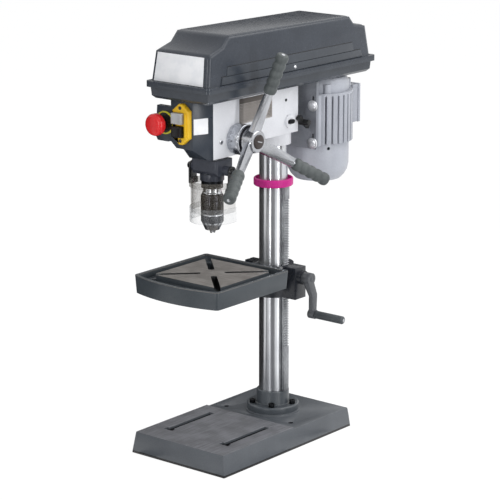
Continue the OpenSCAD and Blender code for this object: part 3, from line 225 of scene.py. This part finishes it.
def streak_card(name, first, last, glow):
    """A wedge of floor and an upright behind it, between two angles round the press."""
    material = bpy.data.materials.new(name)
    material.use_nodes = True
    tree = material.node_tree
    colour = (glow, glow, glow * 1.04, 1)
    light = Wire(tree).add("Emission", sockets={"Color": colour, "Strength": 1.0})
    tree.links.new(light.socket, tree.nodes["Material Output"].inputs[0])
    mesh = bmesh.new()
    angle = math.radians(first)
    out = Vector((math.sin(angle), -math.cos(angle), 0))
    lift = Vector((0, 0, CARD_LIFT))
    near = out * CARD_NEAR + lift
    far = out * CARD_FAR + lift
    line = [mesh.verts.new(p) for p in (near, far, far + Vector((0, 0, CARD_TALL)))]
    edges = [mesh.edges.new(pair) for pair in zip(line, line[1:])]
    bmesh.ops.spin(mesh, geom=line + edges, cent=(0, 0, 0), axis=(0, 0, 1),
                   angle=math.radians(last - first), steps=max(1, round((last - first) / 6)))
    card = stage_piece(mesh, name, material)
    card.visible_camera = False
    card.visible_diffuse = False
    card.visible_shadow = False
    card.visible_transmission = False


streak_card("card_far_left", -150, -42, 0.02)
streak_card("card_left", -19, -11, 0.05)
streak_card("card_middle", 17, 53, 0.24)
streak_card("card_right", 91, 112, 0.06)

camera = bpy.data.objects.new("camera", bpy.data.cameras.new("camera"))
camera.data.sensor_width = 36
camera.data.lens = 156.4
camera.data.shift_x = 0.0012
camera.data.shift_y = -0.016
camera.data.clip_end = 50
camera.location = VIEW_CENTRE + VIEW_DISTANCE * Vector((
    math.sin(VIEW_AZIMUTH) * math.cos(VIEW_ELEVATION),
    -math.cos(VIEW_AZIMUTH) * math.cos(VIEW_ELEVATION), math.sin(VIEW_ELEVATION)))
camera.rotation_euler = (math.pi / 2 - VIEW_ELEVATION, 0, VIEW_AZIMUTH)
scene.collection.objects.link(camera)
scene.camera = camera

# Base: a grey iron casting with sloped sides, ribbed underneath. It is sprayed all over, then the
# deck is planed bare in front of the column, with two tee slots and two holes for bench bolts.
MERGE = 0.01 * MM
SAME_PLANE = math.radians(0.6)
SHARP = math.radians(32)


def end_mesh(mesh, name, body, material):
    """Turns a bmesh into a finished piece that rides on a body."""
    for face in mesh.faces:
        face.smooth = True
    for edge in mesh.edges:
        edge.smooth = len(edge.link_faces) == 2 and edge.calc_face_angle(0) < SHARP
    data = bpy.data.meshes.new(name)
    mesh.to_mesh(data)
    mesh.free()
    if "custom_normal" in data.attributes:
        data.attributes.remove(data.attributes["custom_normal"])
    data.materials.clear()
    data.materials.append(material)
    piece = bpy.data.objects.new(name, data)
    scene.collection.objects.link(piece)
    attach(piece, body)
    return piece


def everywhere(edge):
    return True


def round_edges(mesh, edges, radius):
    bmesh.ops.bevel(mesh, geom=edges, offset=radius * MM, offset_type="OFFSET", affect="EDGES",
                    segments=2 + int(radius > 2) + 2 * int(radius > 5), profile=0.5, material=-1,
                    clamp_overlap=radius < 5)


def skin(node, material, rounds):
    """A copy of a CAD node with its edges rounded, which then stands for the node.

    Each of the rounds is a radius in millimetres and a test for the edges that take it.
    """
    mesh = bmesh.new()
    mesh.from_mesh(frame["nodes"][node].data)
    bmesh.ops.remove_doubles(mesh, verts=mesh.verts, dist=MERGE)
    bmesh.ops.dissolve_limit(mesh, angle_limit=SAME_PLANE, verts=mesh.verts, edges=mesh.edges)
    for radius, test in rounds:
        round_edges(mesh, [e for e in mesh.edges if e.is_manifold and e.calc_face_angle() > SHARP
                           and test(e)], radius)
    piece = end_mesh(mesh, node + "_finished", body_of(frame["nodes"][node])[0], material)
    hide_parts(node)
    return piece


def dress(material, *nodes):
    """Gives CAD nodes that keep their own shape a finish."""
    for node in nodes:
        held = frame["nodes"][node].data.materials
        held.clear()
        held.append(material)


def noise(here, scale, detail=2.0, stretch=(1, 1, 1)):
    """Cloud noise, drawn out along an axis where its stretch is below one."""
    place = here.add("Mapping", sockets={"Vector": here, "Scale": stretch})
    return here.add("TexNoise", sockets={"Vector": place, "Scale": scale, "Detail": detail})


def bump(here, height, strength, depth):
    return here.add("Bump", sockets={"Height": height, "Strength": strength, "Distance": depth})


def mottled(here, colour, shade):
    """Slow drift and fine fleck between two paint tones."""
    return (noise(here, 14, 3) * 0.6 + noise(here, 420, 2) * 0.4).span(0.36, 0.64).mix(
        tone(colour), tone(shade))


def enamel(name, colour, shade, roughness, peel=0.2, shine=0.35, painted_shade_lines=None):
    """Sprayed enamel: slow drift in tone, orange peel, uneven gloss, and painted shade lines by a
    mask.
    """
    material, shader, here = new_finish(name)
    paint = mottled(here, colour, shade)
    if painted_shade_lines:
        # Painted shade: near black where the shade lines fall.
        paint = painted_shade_lines(here).mix(paint, tone("15161a"))
    plug(shader, {
        "Base Color": paint,
        "Roughness": roughness - 0.06 + noise(here, 55, 2) * 0.12,
        "Specular IOR Level": shine,
        "Normal": bump(here, noise(here, 650, 2), peel, 0.15 * MM),
    })
    return material


def axis_of(here, axis):
    """One coordinate of the piece, in millimetres."""
    return here.add("SeparateXYZ", sockets={0: here}, output=axis) * 1000


def planed_over(name, paint, metal, planed, painted_shade, along):
    """Enamel with a planed bare face and near black painted shade, each where its mask is one.

    The planing tool's marks are drawn out along an axis.
    """
    material, shader, here = new_finish(name)
    mask = planed(here)
    stretch = {"X": (0.03, 1, 1), "Y": (1, 0.03, 1)}[along]
    marks = noise(here, 520, 3, stretch)
    bare = (marks * 0.5 + noise(here, 22, 4) * 0.5).span(0.38, 0.62)
    face = mask.mix(mottled(here, *paint), bare.mix(tone(metal[0]), tone(metal[1])))
    plug(shader, {
        # Painted shade: near black where the shade mask is one.
        "Base Color": painted_shade(here).mix(face, tone("08080c")),
        "Metallic": mask * 0.7,
        "Roughness": 0.3 + mask * 0.22 + noise(here, 55, 2) * 0.12,
        "Specular IOR Level": 0.5,
        "Normal": bump(here, mask * marks + (1 - mask) * noise(here, 650, 2), 0.22, 0.12 * MM),
    })
    return material


def on_deck(here):
    return (axis_of(here, "Z") > 45.6) * (axis_of(here, "Y") < -78)


def base_painted_shade(here):
    """Painted shade: black inside the tee slots and bolt holes, and a black band along the foot for
    the shadow at the bench.
    """
    z = axis_of(here, "Z")
    inside = axis_of(here, "X").size() < 105
    return (z < 5) + z.within(5, 41) * inside * axis_of(here, "Y").within(-300, 100)


# The base's slots, bolt holes and a band along its foot carry painted shade.
base_iron = planed_over("base_iron", ("5b5f64", "52565b"), ("84858a", "6c6d71"), on_deck,
                        base_painted_shade, "Y")
skin("base", base_iron, [(2.2, everywhere)])

# Column foot: a cast flange and collar, sprayed like the base, pressed on the column and held down
# by five black cap screws.
casting_paint = enamel("casting_paint", "50555a", "464b50", 0.32, 0.2, 0.5)
skin("column_foot", casting_paint, [(1.2, everywhere)])


def steel(name, colour, shade, roughness, brush=(1, 1, 1), depth=0.1):
    """Bare or plated metal: fine tool marks, drawn out where the brush is below one."""
    material, shader, here = new_finish(name)
    marks = noise(here, 700, 3, brush)
    cloud = noise(here, 30, 3)
    plug(shader, {
        "Base Color": (marks * 0.5 + cloud * 0.5).span(0.38, 0.62).mix(tone(colour), tone(shade)),
        "Metallic": 1.0,
        "Roughness": roughness - 0.05 + marks * 0.1,
        "Normal": bump(here, marks, depth, 0.05 * MM),
    })
    return material


black_oxide = steel("black_oxide", "26282b", "191a1c", 0.42)
skin("foot_bolts", black_oxide, [(0.5, everywhere)])

# Column: a steel tube, ground round and round and chromed. The grinding marks spread reflections
# along its length, so the room shows in it as upright streaks.
column_chrome = steel("column_chrome", "dcdee1", "cfd1d5", 0.3, (1, 1, 8), 0.02)
plug(column_chrome.node_tree.nodes["Principled BSDF"],
     {"Anisotropic": 0.95, "Anisotropic Rotation": 0.25})
skin("column", column_chrome, [(0.8, everywhere)])

# Lift rack: a bar with milled teeth that hangs loose on the column, between the foot and a painted
# collar ring, so the table can swing round with it.
rack_steel = steel("rack_steel", "b4b6b9", "8f9195", 0.46, (1, 1, 0.2))
skin("rack", rack_steel, [(0.25, everywhere)])
magenta_paint = enamel("magenta_paint", "d3268f", "bf1c7f", 0.4)
skin("rack_ring", magenta_paint, [(2.0, everywhere)])

# Table bracket: a split iron collar with the lift gear's housing on its right, a clamp lug on its
# left and a round face in front that the table tilts on.
# Painted shade: the bracket's paint is made darker than its own colour to stand for the table's shadow
# over it.
bracket_iron = enamel("bracket_iron", "24272e", "1d2026", 0.28, 0.2, 0.5)
skin("table_bracket", bracket_iron, [(1.2, everywhere)])
dark_steel = steel("dark_steel", "6d6f73", "55575b", 0.36)
bright_steel = steel("bright_steel", "c9cbce", "b3b5b9", 0.22)
dress(dark_steel, "lift_gear")
skin("crank_shaft", dark_steel, [(0.3, everywhere)])

# Crank: a cast arm on the worm's shaft, sprayed grey, with a plastic handle that spins on a slotted
# screw.
arm_paint = enamel("arm_paint", "56585b", "4a4c50", 0.3, 0.2, 0.5)
skin("crank_arm", arm_paint, [(1.0, everywhere)])


def moulded(name, colour, shade, roughness, grain=0.3):
    """Moulded plastic: even colour with a fine spark-eroded grain."""
    material, shader, here = new_finish(name)
    cloud = noise(here, 26, 3)
    fine = noise(here, 900, 2)
    plug(shader, {
        "Base Color": (cloud * 0.7 + fine * 0.3).span(0.36, 0.64).mix(tone(colour), tone(shade)),
        "Roughness": roughness - 0.05 + noise(here, 70, 2) * 0.1,
        "Specular IOR Level": 0.4,
        "Normal": bump(here, fine, grain, 0.08 * MM),
    })
    return material


def facing(point, out, up=(0, 0, 1)):
    """Placing for a small piece in millimetres: its own Z goes out of a surface and its Y up it."""
    outward = Vector(out).normalized()
    across = Vector(up).cross(outward).normalized()
    placed = Matrix((across, outward.cross(across), outward)).transposed().to_4x4()
    placed.translation = Vector(point) * MM
    return placed


def raised(mesh, faces, height):
    """Extrudes faces and moves them along Z, up or down."""
    grown = bmesh.ops.extrude_face_region(mesh, geom=faces)["geom"]
    moved = [v for v in grown if isinstance(v, bmesh.types.BMVert)]
    bmesh.ops.translate(mesh, verts=moved, vec=(0, 0, height * MM))
    return moved


def screw(name, body, radius, height, place, material):
    """A turned screw head with a driver slot, sunk a little into what it holds."""
    mesh = bmesh.new()
    sunk = -0.5
    profile = [(0, height), (radius * 0.78, height), (radius, height * 0.6), (radius, sunk), (0, sunk)]
    line = [mesh.verts.new((r * MM, 0, h * MM)) for r, h in profile]
    edges = [mesh.edges.new(pair) for pair in zip(line, line[1:])]
    bmesh.ops.spin(mesh, geom=line + edges, cent=(0, 0, 0), axis=(0, 0, 1), angle=2 * math.pi,
                   steps=28, use_merge=True)
    bmesh.ops.remove_doubles(mesh, verts=mesh.verts, dist=MERGE)
    bmesh.ops.recalc_face_normals(mesh, faces=mesh.faces)
    half_slot = radius * 0.14 * MM
    for side in (-half_slot, half_slot):
        bmesh.ops.bisect_plane(mesh, geom=mesh.verts[:] + mesh.edges[:] + mesh.faces[:],
                               dist=MERGE / 10, plane_co=(side, 0, 0), plane_no=(1, 0, 0))
    strip = [f for f in mesh.faces
             if f.normal.z > 0.9 and abs(f.calc_center_median().x) < half_slot]
    raised(mesh, strip, -height * 0.6)
    bmesh.ops.transform(mesh, matrix=place, verts=mesh.verts)
    bmesh.ops.recalc_face_normals(mesh, faces=mesh.faces)
    return end_mesh(mesh, name, body, material)


dark_plastic = moulded("dark_plastic", "4f5356", "43474a", 0.45)
skin("crank_handle", dark_plastic, [(0.8, everywhere)])
screw("crank_handle_screw", "crank_grip", 4, 1.2, facing((188, 0, 275), (1, 0, 0)), bright_steel)

# Table clamp: a blackened steel screw through the bracket's lug, which draws the split collar shut
# on the column, turned by a lever with a ball at its end.
skin("table_lock", black_oxide, [(0.5, everywhere)])


# Table: an iron casting with a coolant gutter round a planed square, cut by four corner slots, and
# a boss underneath that the bracket holds.
def on_plateau(here):
    return axis_of(here, "Z").within(387.6, 388.5)


# Painted shade: black inside the table's four corner slots.
def slot_painted_shade(here):
    inside = (axis_of(here, "X").size() < 80) * ((axis_of(here, "Y") + 200).size() < 80)
    return axis_of(here, "Z").within(360, 387.4) * inside


def upright(edge):
    return abs(edge.verts[0].co.z - edge.verts[1].co.z) > 0.8 * edge.calc_length()


def table_corner(edge):
    middle = (edge.verts[0].co + edge.verts[1].co) / 2
    return upright(edge) and abs(middle.x) > 100 * MM and middle.z > 350 * MM


table_iron = planed_over("table_iron", ("41474c", "393f44"), ("8f8b87", "75716d"), on_plateau,
                         slot_painted_shade, "X")
skin("table", table_iron, [(6.0, table_corner), (1.3, everywhere)])

# Head: a pale sprayed iron casting that clamps on the column, bored for the quill in front, with a
# block behind for the motor's slide rods. A bare printed chart plate is glued to its right side.
head_paint = enamel("head_paint", "e6e7eb", "dcdde1", 0.36)
skin("head_casting", head_paint, [(1.2, everywhere)])
skin("head_screws", black_oxide, [(0.3, everywhere)])
screw("head_side_screw", "stand", 5, 2, facing((40, -219, 670), (1, 0, 0)), bright_steel)


def plate(name, body, outline, thick, edge, place, material):
    """A plate with a drawn outline in millimetres, its front edges rounded, set on a surface."""
    mesh = bmesh.new()
    corners = [mesh.verts.new((x * MM, y * MM, -0.3 * MM)) for x, y in outline]
    front = raised(mesh, [mesh.faces.new(corners)], thick + 0.3)
    bmesh.ops.recalc_face_normals(mesh, faces=mesh.faces)
    round_edges(mesh, [e for e in mesh.edges if all(v in front for v in e.verts)], edge)
    bmesh.ops.transform(mesh, matrix=place, verts=mesh.verts)
    return end_mesh(mesh, name, body, material)


def oblong(width, height):
    return [(0, 0), (width, 0), (width, height), (0, height)]


CHART_Y = -161
CHART_Z = 698
CHART_WIDE = 106
CHART_TALL = 52
CHART_CELL = 8.83
CHART_ROW = CHART_CELL / 1.5
CHART_HEAD = 42
CHART_LINE = 1.2


def chart_print(name):
    """A plain printed table: a grid of fine lines over brown-grey bands, with no lettering."""
    material, shader, here = new_finish(name)
    y = axis_of(here, "Y") - CHART_Y
    z = axis_of(here, "Z") - CHART_Z
    table = z.within(3, CHART_HEAD)
    lines = ((y % CHART_CELL < CHART_LINE) + (z % CHART_ROW < CHART_LINE) > 0.5) * table
    band = z > CHART_HEAD
    mark = (y % CHART_CELL).within(2.6, 6.8) * (z % CHART_ROW).within(2.2, 4.4) * table
    paper = noise(here, 60, 3).span(0.4, 0.6).mix(tone("aaa49f"), tone("9b9590"))
    inked = (lines + mark * 0.6 + band * 0.7 > 0.5).mix(paper, tone("56504c"))
    plug(shader, {
        "Base Color": inked,
        "Roughness": 0.42 + noise(here, 80, 2) * 0.08,
        "Specular IOR Level": 0.4,
    })
    return material


plate("head_chart", "stand", oblong(CHART_WIDE, CHART_TALL), 0.4, 0.3,
      facing((40, CHART_Y, CHART_Z), (1, 0, 0)), chart_print("chart_print"))

# Motor: a die-cast finned body on a plate that slides on two rods, with an end shield on top, a
# pressed fan cover below and a terminal box at the back, all in silver paint.
motor_paint = enamel("motor_paint", "b3b6be", "a4a7af", 0.36, 0.15)
silver_paint = enamel("silver_paint", "b9bcc4", "abaeb6", 0.34, 0.12)
plate_paint = enamel("plate_paint", "8d9097", "7f8289", 0.36, 0.15)
zinc = steel("zinc", "f3f4f6", "e6e7ea", 0.48)
skin("slide_rods", bright_steel, [(0.4, everywhere)])
skin("motor_plate", plate_paint, [(1.0, everywhere)])
skin("motor_bolts", zinc, [(0.5, everywhere)])
skin("motor_body", motor_paint, [(0.5, everywhere)])
skin("motor_flange", silver_paint, [(1.0, everywhere)])
skin("fan_cover", silver_paint, [(1.0, everywhere)])
skin("terminal_box", motor_paint, [(1.0, everywhere)])
BELL_R = 67
MOTOR_Y = 153
BELL_SCREW_Z = 606
for number, turn in ((302, -32.47), (62, 62.5), (182, 182.5)):
    out = Vector((math.cos(math.radians(turn)), math.sin(math.radians(turn)), 0))
    screw(f"fan_cover_screw_{number}", "motor_carriage", 3.2, 1.4,
          facing(Vector((0, MOTOR_Y, BELL_SCREW_Z)) + BELL_R * out, out), black_oxide)
dress(steel("copper", "9a5b35", "7c4527", 0.4), "motor_stator")
dress(dark_steel, "motor_rotor")
black_plastic = moulded("black_plastic", "141517", "0d0e10", 0.42)
dress(black_plastic, "motor_fan")
skin("lock_screw", black_plastic, [(0.8, everywhere)])

# Quill: a ground steel sleeve that carries the spindle in two bearings. Rack teeth cut in it run on
# the feed's pinion, and a coiled spring under the left cap draws it up again.
skin("quill", bright_steel, [(0.4, everywhere)])
dress(bright_steel, "quill_bearings", "pulley_bearing")
dress(steel("spring_steel", "5b5d63", "45474d", 0.3), "return_spring")

# Chuck guard: a clamp block on the quill, a moulded band on two black trunnions that flips up, a
# bent clear shield and a second one that slides on it.
slate_block = enamel("slate_block", "42454e", "373a43", 0.34)
skin("guard_carrier", slate_block, [(1.5, everywhere)])


def clear_sheet(name, colour, alpha, solid_from=None):
    """Clear bent sheet with faint scuffs. Past a distance from the middle it is solid and black."""
    material, shader, here = new_finish(name)
    scuff = noise(here, 60, 4).span(0.35, 0.65)
    sheet = scuff.mix(tone(colour[0]), tone(colour[1]))
    rim = here.add("LayerWeight", sockets={"Blend": 0.5}, output="Facing")
    see = alpha + scuff * 0.04 + rim * rim * 0.5
    if solid_from:
        solid = axis_of(here, "X").size() > solid_from
        sheet = solid.mix(sheet, tone("1b1c1e"))
        see = solid.math("MAXIMUM", solid, see)
    plug(shader, {
        "Base Color": sheet,
        "Alpha": see,
        "Roughness": 0.12 + scuff * 0.06,
        "Specular IOR Level": 0.5,
    })
    return material


skin("guard_yoke", clear_sheet("yoke_sheet", ("7d7870", "6f6a62"), 0.12, 47.5),
     [(0.6, everywhere)])
dress(clear_sheet("shield_sheet", ("7b756c", "6b655c"), 0.1), "guard_shield")
dress(clear_sheet("extension_sheet", ("cfd1d3", "c2c5c7"), 0.05), "guard_extension")

# Spindle and chuck: ground steel in front of the quill, a three-jaw keyless chuck with a bright
# collar, a dark turned sleeve with a bright groove and band, and a tapered nose.
skin("spindle", bright_steel, [(0.3, everywhere)])
skin("spindle_nut", black_oxide, [(0.5, everywhere)])
skin("chuck_body", bright_steel, [(0.5, everywhere)])


def turned_bands(name, dark, shade, bands):
    """Dark turned steel with painted reflections as upright streaks, polished bright between given
    heights.
    """
    material, shader, here = new_finish(name)
    z = axis_of(here, "Z")
    bright = sum((z.within(low, high) for low, high in bands[1:]), z.within(*bands[0]))
    # Painted reflection: upright streaks of lighter and darker tone over the steel's own dark colour.
    reflection_streaks = noise(here, 240, 2, (1, 1, 0.04))
    fine = noise(here, 900, 2, (0.2, 0.2, 1))
    turned = reflection_streaks.span(0.35, 0.65).mix(tone(dark), tone(shade))
    plug(shader, {
        "Base Color": bright.mix(turned, tone("d6d8db")),
        "Metallic": 1.0,
        "Roughness": 0.2 + fine * 0.08,
        "Normal": bump(here, fine, 0.1, 0.04 * MM),
    })
    return material


SLEEVE_BANDS = [(512.6, 515.4), (494, 497)]
chuck_steel = turned_bands("chuck_steel", "4a4a4e", "232327", SLEEVE_BANDS)
skin("chuck_sleeve", chuck_steel, [(0.6, everywhere)])
for jaw in ("jaw_1", "jaw_2", "jaw_3"):
    skin(jaw, bright_steel, [(0.3, everywhere)])

# Feed: a turned drum with a depth scale of plain marks, an aluminium hub with three arms, waved
# grips held by slotted screws, and a dark cap over the hub's nut.
FEED_Y = -170.65
FEED_Z = 671
DRUM_NECK = 71.6


def scale_marks(name):
    """Turned steel with engraved marks round its edge, every fifth one longer, and painted shade on
    its neck.
    """
    material, shader, here = new_finish(name)
    x = axis_of(here, "X")
    angle = here.math("ARCTAN2", axis_of(here, "Y") - FEED_Y, axis_of(here, "Z") - FEED_Z)
    turn = angle * (1 / (2 * math.pi))
    short = ((turn * 60) % 1 < 0.16) * x.within(44, 50)
    long = ((turn * 12) % 1 < 0.04) * x.within(44, 55)
    neck = x > DRUM_NECK
    fine = noise(here, 700, 3, (1, 0.3, 0.3))
    bare = fine.span(0.38, 0.62).mix(tone("cdd0d6"), tone("b2b5bb"))
    plug(shader, {
        # Painted shade: the neck by the hub is near black, for the shaded gap between drum and hub.
        "Base Color": (short + long + neck > 0.5).mix(bare, tone("2a2b2f")),
        "Metallic": 1 - (short + long > 0.5) * 0.6,
        "Roughness": 0.22 + fine * 0.1,
        "Normal": bump(here, fine - (short + long), 0.15, 0.1 * MM),
    })
    return material


cast_aluminium = steel("cast_aluminium", "c2c4c8", "acaeb3", 0.26)
grip_plastic = moulded("grip_plastic", "565b5b", "4a4f4f", 0.5, 0.4)
dress(dark_steel, "pinion_shaft")
skin("depth_drum", scale_marks("drum_steel"), [(0.6, everywhere)])
skin("feed_hub", cast_aluminium, [(0.8, everywhere)])
skin("feed_grips", grip_plastic, [(0.8, everywhere)])
ARM_ROOT = Vector((79.3, FEED_Y, FEED_Z)) * MM
ARM_LENGTH = 196.85
ARM_LEAN = Matrix.Rotation(math.radians(22.4), 4, "Y")
for turn in (2.5, 122.5, 242.5):
    arm = Matrix.Translation(ARM_ROOT) @ Matrix.Rotation(math.radians(-turn), 4, "X") @ ARM_LEAN
    screw(f"grip_screw_{round(turn)}", "feed", 4.2, 1.2,
          arm @ Matrix.Translation((0, 0, ARM_LENGTH * MM)), bright_steel)
cap_brown = moulded("cap_brown", "3a3230", "2e2726", 0.36)
skin("hub_cap", cap_brown, [(0.6, everywhere)])
CAP_FACE = facing((101.7, FEED_Y, FEED_Z), (1, 0, 0), (0, 0.3, 1))
plate("hub_cap_bar", "feed", [(-7, -1.1), (7, -1.1), (7, 1.1), (-7, 1.1)], 0.5, 0.2, CAP_FACE,
      bright_steel)
skin("spring_cap", black_plastic, [(0.8, everywhere)])

# Belt guard: two pressed halves in slate enamel that meet on a rim, the lower one bolted to the
# head and the upper one hinged on the operator's left. Two step pulleys and a belt run inside.
slate_paint = enamel("slate_paint", "40454c", "373c43", 0.21, 0.05, 0.42)


def above_rim(edge):
    high = (edge.verts[0].co.z + edge.verts[1].co.z) / 2 > 797.5 * MM
    return high and edge.is_convex and edge.calc_face_angle() > math.radians(45)


# Number, front end, back end, foot, top and how far it stands proud
LEDGES = ((1, -262, 205, 795, 811, 3.2), (2, -243, 178, 811, 829, 1.6))


def ledge_painted_shade(here):
    """Painted shade: narrow dark lines along the tops of the ledges on the lid's sides."""
    y = axis_of(here, "Y")
    z = axis_of(here, "Z")
    lines = [z.within(high - 0.2, high + 1.4) * y.within(front + 3, back - 2)
             for number, front, back, low, high, proud in LEDGES]
    return (lines[0] + lines[1]) * (axis_of(here, "X").size() > 69)


def tray_foot(edge):
    return max(v.co.z for v in edge.verts) < 761 * MM


skin("belt_tray", slate_paint, [(4.0, tray_foot), (1.0, everywhere)])
# The lid carries painted shade lines above its side ledges.
lid_paint = enamel("lid_paint", "3b4048", "32373f", 0.27, 0.05, 0.38, ledge_painted_shade)
skin("belt_lid", lid_paint, [(9.0, above_rim), (0.9, everywhere)])
LID_HALF = 76
LID_FOOT = 788
SIDE_LEAN = 7 / 103
FRONT_LEAN = 10 / 68
for side, label in ((1, "right"), (-1, "left")):
    for number, front, back, low, high, proud in LEDGES:
        wall = LID_HALF - (low - LID_FOOT) * SIDE_LEAN
        rise = high - low
        ends = [(front, 0), (back, 0), (back - 4, rise), (front + 4, rise)]
        plate(f"lid_ledge_{number}_{label}", "lid", [(side * y, z) for y, z in ends], proud, 1.4,
              facing((side * wall, 0, low), (side, 0, SIDE_LEAN)), slate_paint)
screw("lid_screw", "lid", 3.4, 1.2, facing((78.1, -27, 803), (1, 0, SIDE_LEAN)), zinc)


def sticker(name, colour, shade):
    """A bare printed sheet, faintly uneven in tone and gloss."""
    material, shader, here = new_finish(name)
    plug(shader, {
        "Base Color": noise(here, 40, 3).span(0.38, 0.62).mix(tone(colour), tone(shade)),
        "Roughness": 0.36 + noise(here, 90, 2) * 0.1,
        "Specular IOR Level": 0.4,
    })
    return material


white_sheet = sticker("white_sheet", "f8f8f9", "eff0f2")
plate("lid_plate", "lid", [(-67, 0), (62, 0), (58.5, 57.6), (-63, 57.6)], 0.5, 0.3,
      facing((0, -301 + 7 * FRONT_LEAN, 796), (0, -1, FRONT_LEAN)), white_sheet)
skin("spindle_pulley", cast_aluminium, [(0.4, everywhere)])
skin("motor_pulley", cast_aluminium, [(0.4, everywhere)])
dress(moulded("belt_rubber", "26272a", "1b1c1e", 0.7), "drive_belt")

# Control housing: a slate moulding on the head's front, with a bare label on its right side, a
# yellow plate with two push buttons, and a red mushroom stop on a yellow ring at its left.
cover_paint = enamel("cover_paint", "363c45", "2e343d", 0.3, 0.1, 0.4)
skin("front_cover", cover_paint, [(1.5, everywhere)])
plate("housing_label", "stand", oblong(32.7, 32), 0.4, 0.3,
      facing((23.97, -284.5, 692.5), (0.9328, -0.3604, 0)), white_sheet)
yellow_plastic = moulded("yellow_plastic", "edc128", "e0b01b", 0.4)
PLATE_FRONT = -298


def plate_edge(edge):
    return max(v.co.y for v in edge.verts) < (PLATE_FRONT + 0.1) * MM


skin("switch_plate", yellow_plastic, [(2.0, plate_edge), (0.5, everywhere)])
plate("switch_plate_bar", "stand", [(-2.4, -24), (2.4, -24), (2.4, 24), (-2.4, 24)], 3, 1.2,
      facing((14.5, PLATE_FRONT, 712), (0, -1, 0)), yellow_plastic)
for height in (680, 747):
    screw(f"switch_plate_screw_{height}", "stand", 3.6, 1.2,
          facing((0, PLATE_FRONT, height), (0, -1, 0)), cap_brown)
skin("switch_block", black_plastic, [(0.5, everywhere)])
STOP_X = -48.5
STOP_Z = 710.5
STOP_NECK = 20.5


def ring_and_neck(name):
    """Yellow moulded ring whose neck, inside a given radius, is black."""
    material, shader, here = new_finish(name)
    x = axis_of(here, "X") - STOP_X
    z = axis_of(here, "Z") - STOP_Z
    neck = x * x + z * z < STOP_NECK * STOP_NECK
    fine = noise(here, 900, 2)
    ring = fine.span(0.36, 0.64).mix(tone("dcd63a"), tone("cfc62c"))
    plug(shader, {
        "Base Color": neck.mix(ring, tone("1a1b1d")),
        "Roughness": 0.36 + noise(here, 70, 2) * 0.1,
        "Specular IOR Level": 0.4,
        "Normal": bump(here, fine, 0.2, 0.08 * MM),
    })
    return material


skin("estop_base", ring_and_neck("estop_ring"), [(0.6, everywhere)])
red_plastic = moulded("red_plastic", "dc2629", "cb1b20", 0.24, 0.1)
pale_plastic = moulded("pale_plastic", "b9bcbc", "a8abab", 0.45)
skin("estop_button", red_plastic, [(1.2, everywhere)])
skin("start_button", pale_plastic, [(0.6, everywhere)])
skin("stop_button", black_plastic, [(0.6, everywhere)])
skin("cable_gland", black_plastic, [(0.5, everywhere)])
